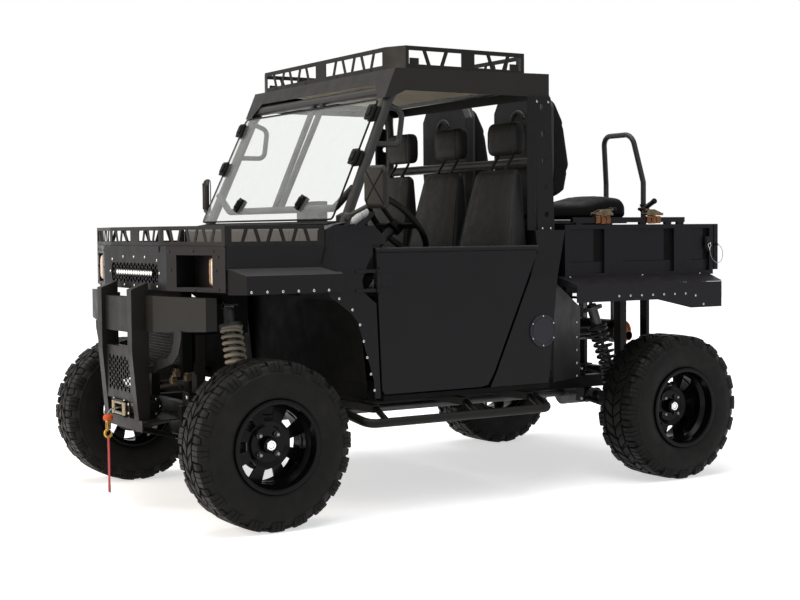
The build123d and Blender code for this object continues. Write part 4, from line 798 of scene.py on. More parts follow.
# Sections of the tread's blocks: inwards from the widest place, and in from the tyre's radius.
TALL = [(0.066, 0.0006), (0.044, 0.0012), (0.023, 0.0022), (0.013, 0.012), (0.0068, 0.030), (0.0062, 0.042)]
TALL_BASE = [(0.068, 0.013), (0.044, 0.014), (0.030, 0.015), (0.021, 0.022), (0.0125, 0.036),
             (0.009, 0.045)]
LOW = [(0.060, 0.0012), (0.046, 0.0022), (0.034, 0.0046), (0.025, 0.0140)]
LOW_BASE = [(0.062, 0.013), (0.047, 0.014), (0.036, 0.016), (0.028, 0.022)]
TREAD_PITCHES = 20
CHAMFER = 0.0014
# Shares of a pitch: where blocks start, how long they are and how far their far row is turned on.
TALL_LEAD = 0.30
SIPE_STEP, SIPE_BLOCK = 0.205, 0.188
LOW_START, LOW_LONG, LOW_SKEW = 0.67, 0.25, 0.04
HERRINGBONE_LEAD, HERRINGBONE_LONG, HERRINGBONE_SKEWS = 0.12, 0.36, (0.26, 0.34)


def tyre_place(side, axle_y):
    """Local Z along the axle towards the outside, its origin on the outer face of the tyre."""
    middle = Matrix.Translation((side * HALF_WIDTH, axle_y, TYRE_R))
    return middle @ Matrix.Rotation(side * math.pi / 2, 4, "Y")


BLOCK_STEPS = 2  # parts of a block's length
EDGE_ROWS = 2  # rows of points that a chamfer and its wall take up
FOOT_SPREAD = 1.6  # how far a block's foot goes beyond its top, in chamfers


def tread_block(shape, section, base, start, end, place, skew=0.0):
    """One raised block: section and base are matching rows of (along, radius) across the tyre;
    start and end are its angles; skew turns the far row on by that angle."""
    rows = len(section)
    turn_in = CHAMFER / TYRE_R
    grid = []
    last = BLOCK_STEPS + 2 * EDGE_ROWS
    for j in range(last + 1):
        inner = min(max((j - EDGE_ROWS) / BLOCK_STEPS, 0.0), 1.0)
        row = []
        for i in range(-EDGE_ROWS, rows + EDGE_ROWS):
            k = min(max(i, 0), rows - 1)
            share = k / (rows - 1)
            angle = start + (end - start) * inner + skew * share
            on_top = EDGE_ROWS <= j <= last - EDGE_ROWS
            if on_top:
                angle += turn_in if inner == 0 else (-turn_in if inner == 1 else 0)
            along, radius = section[k]
            border = i < 0 or i >= rows or not on_top
            deep = i in (-EDGE_ROWS, rows + 1) or j in (0, last)
            if deep:
                along, radius = base[k]
                angle += {0: -turn_in, last: turn_in}.get(j, 0.0) * FOOT_SPREAD
            elif border:
                towards = Vector(base[k]) - Vector(section[k])
                along, radius = Vector(section[k]) + towards.normalized() * CHAMFER
            row.append(around(radius, angle, along))
        grid.append(row)
    verts = [p for row in grid for p in row]
    wide = rows + 2 * EDGE_ROWS
    starts = [j * wide + i for j in range(last) for i in range(wide - 1)]
    shape.add(verts, [(a, a + 1, a + wide + 1, a + wide) for a in starts], place)


def add_tyre(body, side, axle_y, width):
    """A smooth carcass with paired shoulder blocks, scalloped between, and two rows of
    herringbone blocks down the middle."""
    half = width / 2
    place = tyre_place(side, axle_y) @ Matrix.Translation((0, 0, -half))
    carcass = Shape()
    outer = [(half - inward, RIM_R + rise) for inward, rise in SIDEWALL]
    outer += [(half * 0.4, RIM_R + 0.1535), (0.0, RIM_R + 0.1545)]
    inside = [(half - inward, RIM_R + rise)
              for inward, rise in ((0.045, 0.13), (0.026, 0.06), (0.036, 0.001))]
    profile = outer + [(-x, r) for x, r in reversed(outer[:-1])]
    profile += [(-x, r) for x, r in reversed(inside)] + inside
    carcass.lathe(profile, place, steps=112, closed=True)
    pitch = 2 * math.pi / TREAD_PITCHES
    for way in (1, -1):
        tall, tall_base, low, low_base = (
            [(way * (half - inward), TYRE_R - drop) for inward, drop in rows]
            for rows in (TALL, TALL_BASE, LOW, LOW_BASE))
        mid, inner_end = 0.5 * (half - 0.076), half - 0.076
        centre = [(way * x, TYRE_R - drop)
                  for x, drop in ((0.006, 0.0002), (mid, 0.0002), (half - 0.078, 0.0005))]
        centre_base = [(way * x, TYRE_R - drop)
                       for x, drop in ((0.004, 0.012), (mid, 0.012), (inner_end, 0.013))]
        for i in range(TREAD_PITCHES):
            at = (i + (0.0 if way == 1 else 0.5)) * pitch
            start = at - pitch * TALL_LEAD
            for k in range(3):  # one wide block, cut by two sipes
                left = start + k * pitch * SIPE_STEP
                tread_block(carcass, tall, tall_base, left, left + pitch * SIPE_BLOCK, place)
            left = start + pitch * LOW_START
            tread_block(carcass, low, low_base, left, left + pitch * LOW_LONG, place,
                        skew=pitch * LOW_SKEW)
            for k, skew in enumerate(HERRINGBONE_SKEWS):
                left = at + pitch * (0.5 * k - HERRINGBONE_LEAD)
                tread_block(carcass, centre, centre_base, left, left + pitch * HERRINGBONE_LONG, place,
                            skew=-pitch * skew)
    return carcass.piece(body.replace("_wheel", "_tread_tyre"), "tyre", body, smooth=38, slot="tyre",
                         replaces=[body.replace("_wheel", "_tyre")])


# ---- wheels --------------------------------------------------------------------------------
DISC_R = 0.110
DISC_HOLE_R = 0.050
DISC_OUT, DISC_IN = -0.0405, -0.0472  # its two faces, from the wheel's mounting face
DISC_HOLE_ROWS = [(0.070, 16), (0.082, 20), (0.096, 24)]  # radius, holes round


def add_wheel_trim(body, side, axle_y, dish):
    """Brake disc with its drilled holes as dark spots of painted shade, lug nuts with their sockets, and the
    centre cap.
    """
    place = tyre_place(side, axle_y) @ Matrix.Translation((0, 0, -0.004 - dish))
    name = body.replace("_wheel", "")
    disc = [(DISC_OUT, DISC_HOLE_R), (DISC_OUT, DISC_R), (DISC_IN, DISC_R + 0.0004), (DISC_IN, DISC_HOLE_R)]
    Shape().lathe(disc, place, 96, closed=True).piece(name + "_brake_disc", "cast", body, smooth=30)
    holes = Shape()
    # the drilled holes are not cut: thin dark spots on the disc's face paint the shade inside them
    for radius, count in DISC_HOLE_ROWS:
        for angle in turns(count):
            at = place @ Matrix.Translation(around(radius, angle + radius * 40, -0.0408))
            holes.lathe([(0.0, 0.0032), (0.0006, 0.0032)], at, 10)
    holes.piece(name + "_disc_hole_shade", "dark_screw", body, smooth=30)
    nuts = Shape()
    for k, angle in enumerate(turns(HUB_BOLTS)):
        at = place @ Matrix.Translation(around(HUB_PCD / 2, angle + math.pi / 4, 0.0))
        nuts.lathe([(0.001, 0.0118), (0.005, 0.0118), (0.007, 0.0108)], at, 24)
        nuts.lathe([(0.007, 0.0100), (0.0165, 0.0100), (0.0180, 0.0088)],
                   at @ Matrix.Rotation(k * 0.5, 4, "Z"), 6)
        nuts.lathe([(0.0180, 0.0080), (0.0210, 0.0070), (0.0222, 0.0044)], at, 20)
    nuts.piece(name + "_lug_nuts", "nut", body, smooth=40, bevel=0.0006)
    ring = Shape()
    ring.lathe([(0.0005, 0.0338), (0.018, 0.0332), (0.0232, 0.0316), (0.0285, 0.0300), (0.0300, 0.0275),
                (0.0284, 0.0245), (0.0284, 0.001)], place, 64)
    ring.piece(name + "_cap_ring", "rim", body, smooth=40)
    cap = Shape()
    cap.lathe([(0.0284, 0.0212), (0.0345, 0.0208), (0.0368, 0.0190), (0.0368, 0.0128), (0.0340, 0.0112),
               (0.0335, 0.001)], place, 48)
    for angle in turns(6):  # castle notches round the hub nut
        at = place @ Matrix.Rotation(angle, 4, "Z")
        cap.box((0.0150, -0.0032, 0.0300), (0.0216, 0.0032, 0.0352), at)
    cap.piece(name + "_hub_nut", "chrome", body, smooth=40, bevel=0.0006)
    ridges = Shape()
    ridges.lathe([(dish + 0.0012, 0.1705), (dish + 0.0026, 0.1735), (dish + 0.0036, 0.1800),
                  (dish + 0.0022, 0.1872), (dish - 0.0030, 0.1884), (dish - 0.0030, 0.1705)],
                 place, 112, closed=True)
    ridges.piece(name + "_rim_flange", "rim", body, smooth=50)
    valve = Shape()
    at = place @ Matrix.Translation(around(0.158, 0.6, 0.004)) @ Matrix.Rotation(0.35, 4, "Y")
    valve.lathe([(0.0, 0.0062), (0.012, 0.0056), (0.014, 0.0038), (0.032, 0.0038), (0.034, 0.0028)], at, 16)
    valve.piece(name + "_valve", "grip", body, smooth=40)


# ---- springs and shock absorbers -----------------------------------------------------------
TOWER_EYE_Z = 0.885
SHOCKS = [  # end, lower eye, upper eye, the seats' shares of the length, coils, wire radius, paint
    ("front", (0.530, FRONT_AXLE_Y, 0.472), (0.395, FRONT_AXLE_Y, TOWER_EYE_Z), (0.192, 0.790),
     10.5, 0.0082, "spring"),
    ("rear", (0.500, 0.965, 0.308), (0.412, 0.835, 0.850), (0.332, 0.770), 9.5, 0.0078, "dark_spring"),
]
SPRING_R = 0.0478  # out to the wire's outer side
EYE_R = 0.017  # round each end's bush


def add_springs():
    """Wound coils with closed ends, on both sides, and the collars that hold them."""
    for end, low, high, seats, coils, wire_r, paint in SHOCKS:
        a, b = Vector(low), Vector(high)
        along = (b - a).normalized()
        length = (b - a).length
        across, up = cross_section_frame(along)
        start, stop = seats[0] * length + wire_r, seats[1] * length - wire_r
        points = []
        steps = int(coils * 24)
        for k in range(steps + 1):
            share = k / steps
            closed = 0.9 / coils  # share of the winding that lies flat at each end
            rise = min(max((share - closed) / (1 - 2 * closed), 0.0), 1.0)
            squeeze = 0.02 * (min(share, closed) + max(share - 1 + closed, 0.0)) / closed
            at = a + along * (start + (stop - start) * (rise * 0.96 + squeeze))
            points.append(round_point(at, across, up, SPRING_R - wire_r, 2 * math.pi * share * coils))
        Shape().pipe(points, wire_r, 9).mirrored().piece(
            end + "_springs", paint, smooth=60, slot="spring_steel",
            replaces=["springs"] if end == "front" else ())
        collars = Shape()
        for share, radius, height in ((seats[0] + 0.01, 0.030, 0.016), (seats[1] - 0.04, 0.030, 0.014)):
            collars.lathe([(0, radius * 0.7), (0, radius), (height, radius), (height, radius * 0.7)],
                          axis_place(a + along * (share * length), along), 28, closed=True)
        body_from, body_to = (seats[1] - 0.03) * length, 0.955 * length
        collars.lathe([(body_from, 0.0200), (body_from + 0.002, 0.0245), (body_to - 0.004, 0.0245),
                       (body_to, 0.0180)], axis_place(a, along), 28)
        for eye in (a, a + along * length):
            collars.lathe([(-0.021, EYE_R * 0.5), (-0.021, EYE_R), (0.021, EYE_R), (0.021, EYE_R * 0.5)],
                          axis_place(eye, (0, 1, 0)), 20, closed=True)
        collars.mirrored().piece(end + "_shock_collars", "cast", smooth=40, bevel=0.0008)


# ---- seats ---------------------------------------------------------------------------------
def eased(levels, t, column):
    """The value of one column of a table at t, on straight lines between its rows."""
    for row, after in zip(levels, levels[1:]):
        if t <= after[0]:
            share = (t - row[0]) / (after[0] - row[0])
            return row[column] + (after[column] - row[column]) * share
    return levels[-1][column]


PAD_POINTS = 88  # round each section


def pad_shape(x, levels, axis, rounding, crown, seams=(), cross_seams=(), front=-1, rows=44, power=5.0):
    """A stuffed pad lofted along an axis. levels holds (along, half-width, low, high) rows, where low
    and high bound it in the third direction; front says which of those faces is crowned and sewn."""
    first, last = levels[0][0], levels[-1][0]
    rings = []
    for r in range(rows):
        share = r / (rows - 1)
        t = first + (last - first) * (0.5 - 0.5 * math.cos(math.pi * share))
        near = min(t - first, last - t)
        tuck = rounding * (1 - math.sqrt(max(0.0, 1 - (1 - min(near / rounding, 1.0)) ** 2)))
        half = eased(levels, t, 1) - tuck
        low, high = eased(levels, t, 2) + tuck * 0.7, eased(levels, t, 3) - tuck * 0.7
        middle, depth = (low + high) / 2, max((high - low) / 2, 0.002)
        fullness = math.sin(math.pi * min(max((t - first) / (last - first), 0.0), 1.0)) ** 0.6
        ring = []
        for a in turns(PAD_POINTS):
            ca, sa = math.cos(a), math.sin(a)
            px = half * math.copysign(abs(ca) ** (2 / power), ca)
            pb = depth * math.copysign(abs(sa) ** (2 / power), sa)
            px *= 1 - 0.02 * fullness * (1 - abs(ca) ** 4)
            if sa * front > 0.05:
                across = min(abs(px) / half, 1.0)
                pb += front * crown * fullness * (1 - across**2.4)
                for seam, width, groove in seams:
                    pb -= front * groove * math.exp(-(((px / half) - seam) / width) ** 2)
                for seam, width, groove in cross_seams:
                    pb -= front * groove * math.exp(-(((t - seam) / width) ** 2))
            other = middle + pb
            ring.append((x + px, other, t) if axis == "z" else (x + px, t, other))
        rings.append(ring)
    return Shape().skin(rings)


FRONT_SEATS = [("right", -0.450, 1.0), ("middle", 0.0, 0.963), ("left", 0.450, 1.0)]  # side, x, width share
BACK_LEVELS = [  # height, half-width, front y, rear y
    (0.978, 0.210, 0.186, 0.286), (1.060, 0.213, 0.160, 0.288), (1.120, 0.212, 0.165, 0.288),
    (1.300, 0.182, 0.202, 0.286), (1.400, 0.166, 0.224, 0.284), (1.468, 0.152, 0.240, 0.283),
]
CUSHION_LEVELS = [  # y, half-width, low z, high z
    (-0.213, 0.208, 0.868, 0.944), (-0.150, 0.213, 0.864, 0.952), (0.100, 0.213, 0.864, 0.948),
    (0.150, 0.210, 0.864, 0.940),
]
HEADREST_LEVELS = [  # height, half-width, front y, rear y
    (1.537, 0.106, 0.279, 0.334), (1.580, 0.114, 0.273, 0.337), (1.645, 0.113, 0.273, 0.337),
    (1.687, 0.103, 0.279, 0.332),
]
HEADREST_POST_X = 0.058
PIPING_Z = (1.000, 1.448)


def paired(at, width, groove):
    """The same seam on both sides of a pad."""
    return [(-at, width, groove), (at, width, groove)]


def add_pad(shape, name, paint="vinyl", body="chassis", replaces=()):
    """A stuffed pad in its cover."""
    piece = shape.piece(name, paint, body, smooth=60, slot="seat_cover", replaces=replaces)


def add_front_seats():
    """Three backs, cushions and headrests, each a sewn pad, and the headrests' posts."""
    for side, x, share in FRONT_SEATS:
        wide = [(along, half * share, low, high) for along, half, low, high in BACK_LEVELS]
        seat = [(along, half * share, low, high) for along, half, low, high in CUSHION_LEVELS]
        back = pad_shape(x, wide, "z", 0.030, 0.012, seams=paired(0.56, 0.022, 0.007),
                         cross_seams=[(1.075, 0.006, 0.005)])
        add_pad(back, side + "_seat_back", replaces=["seat_backs"] if side == "middle" else ())
        cushion = pad_shape(x, seat, "y", 0.030, 0.014, front=1, seams=paired(0.56, 0.035, 0.006),
                            cross_seams=[(-0.120, 0.006, 0.005)])
        add_pad(cushion, side + "_seat_cushion", replaces=["seat_cushions"] if side == "middle" else ())
        rest = pad_shape(x, HEADREST_LEVELS, "z", 0.022, 0.007, seams=paired(0.78, 0.04, 0.003),
                         power=6.0, rows=36)
        add_pad(rest, side + "_headrest", replaces=["headrests"] if side == "middle" else ())
        posts = Shape()
        for way in (-1, 1):
            post_x = x + way * HEADREST_POST_X
            posts.pipe([(post_x, 0.266, 1.440), (post_x, 0.268, 1.480), (post_x, 0.303, 1.530),
                        (post_x, 0.305, 1.556)], 0.0065, 14)
            posts.lathe([(0, 0.011), (0.010, 0.011), (0.013, 0.0085)],
                        Matrix.Translation((post_x, 0.266, 1.462)), 18)
        posts.piece(side + "_headrest_posts", "dark_screw", smooth=40)
        piping = Shape()
        for way in (-1, 1):
            edge = []
            for k in range(26):
                z = PIPING_Z[0] + (PIPING_Z[1] - PIPING_Z[0]) * k / 25
                half = eased(wide, z, 1)
                edge.append((x + way * (half - 0.010), eased(wide, z, 2) + 0.010, z))
            piping.pipe(edge, 0.0032, 8)
        piping.piece(side + "_seat_piping", "cloth", smooth=60)


REAR_SEATS = [("right", -0.320), ("left", 0.320)]
REAR_BACK_LEVELS = [  # height, half-width, front y, rear y; the sitter's side is the high y
    (1.342, 0.188, 0.518, 0.560), (1.380, 0.194, 0.518, 0.616), (1.500, 0.196, 0.518, 0.646),
    (1.700, 0.190, 0.518, 0.611), (1.806, 0.174, 0.518, 0.558),
]
REAR_CUSHION_LEVELS = [  # y, half-width, low z, high z
    (0.532, 0.178, 1.238, 1.304), (0.600, 0.184, 1.238, 1.310), (0.740, 0.184, 1.238, 1.314),
    (0.880, 0.184, 1.238, 1.347), (0.965, 0.183, 1.238, 1.342), (1.002, 0.174, 1.240, 1.306),
]


def add_rear_seats():
    """The pads of the two seats that face +Y, in a darker copy of the seat vinyl that paints their shade."""
    for side, x in REAR_SEATS:
        back = pad_shape(x, REAR_BACK_LEVELS, "z", 0.030, 0.010, front=1,
                         seams=paired(0.5, 0.035, 0.005),
                         cross_seams=[(1.470, 0.006, 0.005), (1.680, 0.006, 0.004)])
        add_pad(back, side + "_rear_back_pad", "shaded_pad_vinyl", "bed",
                ["rear_seat_pads"] if side == "left" else ())
        seat = pad_shape(x, REAR_CUSHION_LEVELS, "y", 0.028, 0.009, front=1,
                         seams=paired(0.5, 0.035, 0.005),
                         cross_seams=[(0.78, 0.006, 0.005)])
        add_pad(seat, side + "_rear_cushion", "shaded_pad_vinyl", "bed")


# ---- screws --------------------------------------------------------------------------------
def add_screws(name, spots, body, paint="zinc", radius=0.0052, height=0.0026):
    """Button-head screws, each with a six-sided socket that is a thin dark hexagon on the head, painted
    shade: spots holds (place, outward direction) pairs.
    """
    heads, sockets = Shape(), Shape()
    for at, outward in spots:
        place = axis_place(at, outward)
        heads.lathe([(-0.0005, radius), (height * 0.45, radius), (height * 0.85, radius * 0.78),
                     (height, radius * 0.5)], place, 14)
        # the socket is not cut: a thin dark hexagon on the head paints the shade inside it
        sockets.lathe([(height * 0.9, radius * 0.42), (height + 0.0002, radius * 0.42)], place, 6)
    heads.piece(name, paint, body, smooth=45)
    sockets.piece(name + "_socket_shade", "dark_screw", body, smooth=30)


def both_sides(spots):
    """The spots and their mirror images on the vehicle's other side."""
    return spots + [((-x, y, z), (-nx, ny, nz)) for (x, y, z), (nx, ny, nz) in spots]


# ---- nose, lamps and panels ----------------------------------------------------------------
NOSE_TURN = math.atan2(NOSE_CORNER_Y - NOSE_Y, BODY_X - NOSE_FOLD_X)


def nose_place(along, inward, z, side=1):
    """A point on the nose's angled face: along it from the fold, and inwards from it."""
    x = NOSE_FOLD_X + along * math.cos(NOSE_TURN) - inward * math.sin(NOSE_TURN)
    y = NOSE_Y + along * math.sin(NOSE_TURN) + inward * math.cos(NOSE_TURN)
    return (side * x, y, z)


def add_panel_screws():
    """The rows of small screws along the nose, fenders, flares, covers and pillars."""
    grille = [(x, NOSE_Y, z) for x, z in (
        (0.0, 1.0895), (0.125, 1.0895), (0.257, 1.077), (0.2825, 1.024), (0.257, 0.967), (0.115, 0.966),
        (0.0, 0.966))]
    spots = [((way * x, y, z), (0, -1, 0)) for x, y, z in grille for way in ((1, -1) if x else (1,))]
    add_screws("grille_screws", spots, "chassis", "zinc", 0.0062, 0.003)
    outward = (math.sin(NOSE_TURN), -math.cos(NOSE_TURN), 0)
    lamp_rim = [(0.018, 1.115), (0.172, 1.116), (0.300, 1.116), (0.327, 1.093), (0.028, 1.039),
                (0.316, 1.039), (0.330, 0.964), (0.182, 0.9585)]
    spots = [(nose_place(along, 0, z), outward) for along, z in lamp_rim]
    add_screws("headlamp_panel_screws", both_sides(spots), "chassis", "dark_screw", 0.0065, 0.003)
    skirt = [((FLARE_X, y, 0.9535), (1, 0, 0)) for y in (-1.175, -1.105, -1.035, -0.965, -0.895, -0.826)]
    arch = [((SIDE_X, y, z), (1, 0, 0)) for y, z in (
        (-0.768, 0.916), (-0.706, 0.868), (-0.670, 0.804), (-0.653, 0.735), (-0.637, 0.667),
        (-0.620, 0.597), (-0.603, 0.528))]
    add_screws("fender_screws", both_sides(skirt + arch), "chassis", "zinc", 0.0055, 0.0026)
    flare = [((FLARE_X, 0.709 + 0.069 * i, 0.8805), (1, 0, 0)) for i in range(7)]
    flare += [((FLARE_X, 1.187, 0.869), (1, 0, 0)), ((FLARE_X, 1.239, 0.826), (1, 0, 0))]
    flare += [((0.690, y, 0.9716), (0.34, 0, 0.94)) for y in (0.492, 0.930, 1.300)]
    add_screws("flare_screws", both_sides(flare), "bed", "zinc", 0.0055, 0.0026)
    edge = [((0.6552, 0.5585, z), (0.902, 0.433, 0)) for z in (0.510, 0.570, 0.630, 0.690, 0.760)]
    add_screws("rear_panel_screws", both_sides(edge), "chassis", "zinc", 0.0055, 0.0030)
    cover = [((SIDE_X + 0.006, 0.278 + 0.0665 * math.cos(a), 0.738 + 0.0665 * math.sin(a)), (1, 0, 0))
             for a in (math.pi / 6 + turn for turn in turns(6))]
    add_screws("cover_screws", both_sides(cover), "chassis", "zinc", 0.0036, 0.0022)
    pillar = [((0.7057, y, 1.196), (1, 0, 0.04)) for y in (0.322, 0.369)]
    pillar += [((0.6812, y, 1.768), (1, 0, 0.04)) for y in (0.312, 0.376)]
    add_screws("pillar_screws", both_sides(pillar), "chassis", "zinc", 0.005, 0.0026)


LAMP_LOW, LAMP_HIGH = 0.9765, 1.0915
LAMP_ROWS = 15
LAMP_DEPTH = 0.046


def lamp_strip(shape, start, end, front, bow, side):
    """A bulging lens from start to end along the nose, rounded off at its top and bottom."""
    columns = 11
    rings = []
    for j in range(LAMP_ROWS):
        t = j / (LAMP_ROWS - 1)
        z = LAMP_LOW + (LAMP_HIGH - LAMP_LOW) * t
        swell = (1 - abs(2 * t - 1) ** 5) ** 0.5
        left = start + (end - start) * 0.22 * (1 - swell)
        right = end - (end - start) * 0.10 * (1 - swell)
        ring = []
        for i in range(columns):
            u = i / (columns - 1)
            depth = front + bow * (1 - math.sin(math.pi * (0.12 + 0.76 * u)) * swell)
            ring.append(nose_place(left + (right - left) * u, depth, z, side))
        back = front + LAMP_DEPTH
        rings.append(ring + [nose_place(right, back, z, side), nose_place(left, back, z, side)])
    shape.skin(rings)


def add_headlamps():
    """Upright lamps at the outer end of each recess: a dark bowl, an amber strip and a pale one."""
    bowls, amber, pale = Shape(), Shape(), Shape()
    for side in (1, -1):
        outline = [nose_place(along, inward, 0, side)[:2] for along, inward in (
            (0.2445, 0.0695), (0.2445, 0.060), (0.2915, 0.060), (0.2915, 0.0695))]
        bowls.prism(outline, LAMP_LOW - 0.001, LAMP_HIGH + 0.001, "z")
        for k in range(11):
            z = LAMP_LOW + 0.004 + 0.0105 * k
            rib = [nose_place(along, inward, 0, side)[:2] for along, inward in (
                (0.2448, 0.060), (0.2448, 0.0555), (0.2912, 0.0555), (0.2912, 0.060))]
            bowls.prism(rib, z, z + 0.004, "z")
        lamp_strip(amber, 0.2446, 0.2680, 0.0150, 0.012, side)
        lamp_strip(pale, 0.2686, 0.2912, 0.0050, 0.012, side)
    bowls.piece("headlamp_bowls", "inner", slot="lamp_amber", replaces=["headlamps"])
    amber.piece("headlamp_amber_strips", "amber", smooth=50)
    pale.piece("headlamp_pale_strips", "white_lens", smooth=50)


LED_CELLS = 15


def add_light_bar():
    """A slim housing with a row of lit lenses, each in its bright reflector."""
    low, high = Vector((-0.2155, -1.3595, 1.0085)), Vector((0.2155, -1.3504, 1.0355))
    housing = Shape()
    for z0, z1 in ((low.z, low.z + 0.0045), (high.z - 0.0045, high.z)):
        housing.box((low.x, low.y, z0), (high.x, high.y, z1))
    housing.box((low.x, low.y, low.z), (low.x + 0.006, high.y, high.z))
    housing.box((high.x - 0.006, low.y, low.z), (high.x, high.y, high.z))
    housing.box((low.x, high.y - 0.002, low.z), (high.x, high.y, high.z))
    housing.piece("light_bar_housing", "steel", slot="light_white", replaces=["light_bar"], bevel=0.0008)
    cells, reflector = Shape(), Shape()
    pitch = (high.x - low.x - 0.014) / LED_CELLS
    middle = (low.z + high.z) / 2
    for k in range(LED_CELLS):
        x = low.x + 0.007 + pitch * (k + 0.5)
        cells.ball((x, high.y - 0.0046, middle), 0.0086, 14, squash=(1.35, 0.38, 0.98))
        reflector.lathe([(0, 0.0108), (0.0022, 0.0124), (0.003, 0.0124), (0.003, 0.0112)],
                        axis_place((x, high.y - 0.0026, middle), (0, -1, 0)), 20)
    cells.piece("light_bar_lenses", "led", smooth=60)
    reflector.piece("light_bar_reflectors", "chrome", smooth=40)


MIRROR_TURN = math.radians(30)  # each head is turned outwards from straight ahead


def add_mirrors():
    """Creased mirror heads turned outwards, with silvered glass, a rim, a ball joint and a stem."""
    place = Matrix.Translation((0.831, -0.632, 1.372)) @ Matrix.Rotation(MIRROR_TURN, 4, "Z")
    wide, tall, front, rear = 0.0535, 0.0885, -0.018, 0.016
    outline = [(-wide + 0.020, -tall), (wide - 0.012, -tall), (wide, -tall + 0.016), (wide, tall - 0.026),
               (wide - 0.018, tall), (-wide + 0.026, tall), (-wide, tall - 0.030), (-wide, -tall + 0.030)]
    n = len(outline)
    shell = Shape()
    layers = [(rear, 1.0), (rear - 0.010, 1.0), (-0.006, 0.94), (-0.013, 0.82)]
    verts = [(x * share, y, z * share) for y, share in layers for x, z in outline]
    faces = [tuple(range(n))]
    for row in range(len(layers) - 1):
        faces += [(row * n + i, row * n + n + i, row * n + n + (i + 1) % n, row * n + (i + 1) % n)
                  for i in range(n)]
    top = (len(layers) - 1) * n
    verts.append((0, front + 0.001, 0))
    faces += [(top + i, len(verts) - 1, top + (i + 1) % n) for i in range(n)]
    shell.add(verts, faces, place)
    shell.mirrored()
    shell.piece("mirror_heads", "roof", smooth=25, replaces=["mirrors"], bevel=(0.0035, 3, 12))
    creases = Shape()
    for (ax, az), (bx, bz) in (((-0.040, 0.066), (0.044, -0.072)), ((-0.040, -0.062), (0.042, 0.070))):
        line = [Vector((ax, -0.0135, az)), Vector(((ax + bx) / 2, -0.0172, (az + bz) / 2)),
                Vector((bx, -0.0135, bz))]
        creases.pipe([place @ p for p in line], 0.0026, 8)
    creases.mirrored().piece("mirror_creases", "grip", smooth=50)
    glass, rims = Shape(), Shape()
    inset = [(x * 0.90, z * 0.93) for x, z in outline]
    glass.prism(inset, rear - 0.002, rear + 0.0006, "y", place)
    loop = rounded_path([Vector((x, rear, z)) for x, z in inset + inset[:2]], 0.010, 3)
    rims.pipe([place @ p for p in loop[1:-1]], 0.0030, 8)
    glass.mirrored().piece("mirror_glass", "mirror", smooth=30)
    rims.mirrored().piece("mirror_rims", "grip", smooth=50)
    joints = Shape()
    joints.pipe([(0.690, -0.692, 1.250), (0.742, -0.668, 1.273), (0.794, -0.643, 1.298)], 0.009, 16)
    joints.ball((0.800, -0.640, 1.302), 0.017, 18)
    joints.lathe([(0, 0.020), (0.006, 0.020), (0.010, 0.014), (0.022, 0.012)],
                 axis_place((0.694, -0.690, 1.252), (0.110, 0.052, 0.050)), 20)
    joints.mirrored().piece("mirror_joints", "cage", smooth=50)


# ---- winch ---------------------------------------------------------------------------------
DRUM_AT = (0.0, -1.340, 0.452)
DRUM_HALF = 0.0765
DRUM_TURNS = 17
WINCH_END_X = 0.145
FAIRLEAD_Y = -1.431


def add_winch_detail():
    """The wound drum, bright fairlead rollers, gear housings with their bolts, and the free-spool lever."""
    steps = 4 * DRUM_TURNS  # points along the drum
    wound = [(DRUM_HALF * (2 * k / steps - 1), 0.0375 + 0.0020 * math.cos(math.pi / 2 * k))
             for k in range(steps + 1)]
    profile = [(-DRUM_HALF, 0.0345), *wound, (DRUM_HALF, 0.0345)]
    Shape().lathe(profile, axis_place(DRUM_AT, (1, 0, 0)), 40, closed=True).piece(
        "winch_drum_winding", "rope", smooth=60)
    rollers = Shape()
    for x in (-0.060, 0.060):
        rollers.lathe([(0, 0.0095), (0.001, 0.0112), (0.056, 0.0112), (0.057, 0.0095)],
                      Matrix.Translation((x, FAIRLEAD_Y, 0.4125)), 28, closed=True)
    for z in (0.418, 0.464):
        rollers.lathe([(0, 0.0064), (0.001, 0.0078), (0.087, 0.0078), (0.088, 0.0064)],
                      axis_place((-0.044, FAIRLEAD_Y, z), (1, 0, 0)), 24, closed=True)
    rollers.piece("fairlead_rollers", "roller", smooth=40)
    bolts = [((x, -1.423, z), (0, -1, 0)) for x in (-0.084, 0.084) for z in (0.424, 0.462)]
    bolts += [((x, FAIRLEAD_Y, 0.477), (0, 0, 1)) for x in (-0.060, 0.060)]
    for side in (-1, 1):
        for a in turns(6):
            y, z, _ = around(0.037, a, 0)
            bolts.append(((side * WINCH_END_X, DRUM_AT[1] + y, DRUM_AT[2] + z), (side, 0, 0)))
    add_screws("winch_bolts", bolts, "chassis", "zinc", 0.0062, 0.004)
    ends = Shape()
    for side in (-1, 1):
        ends.lathe([(0, 0.030), (0.004, 0.029), (0.006, 0.024), (0.006, 0.010), (0.004, 0.008)],
                   axis_place((side * WINCH_END_X, *DRUM_AT[1:]), (side, 0, 0)), 32)
        for k in range(5):
            ends.lathe([(0, 0.0472), (0.0016, 0.0486), (0.0044, 0.0486), (0.006, 0.0472)],
                       axis_place((side * (0.082 + 0.012 * k), *DRUM_AT[1:]), (side, 0, 0)),
                       36, closed=True)
    ends.piece("winch_end_ribs", "steel", smooth=40)
    lever = Shape()
    lever.pipe([(0.118, -1.340, 0.498), (0.118, -1.352, 0.520), (0.118, -1.374, 0.532)], 0.0035, 10)
    lever.ball((0.118, -1.376, 0.533), 0.008, 12)
    lever.piece("winch_lever", "orange", smooth=50)


HOOK_AT = Vector((0.0, -1.483, 0.0))
HOOK_R = 0.0154  # of the hook's bend


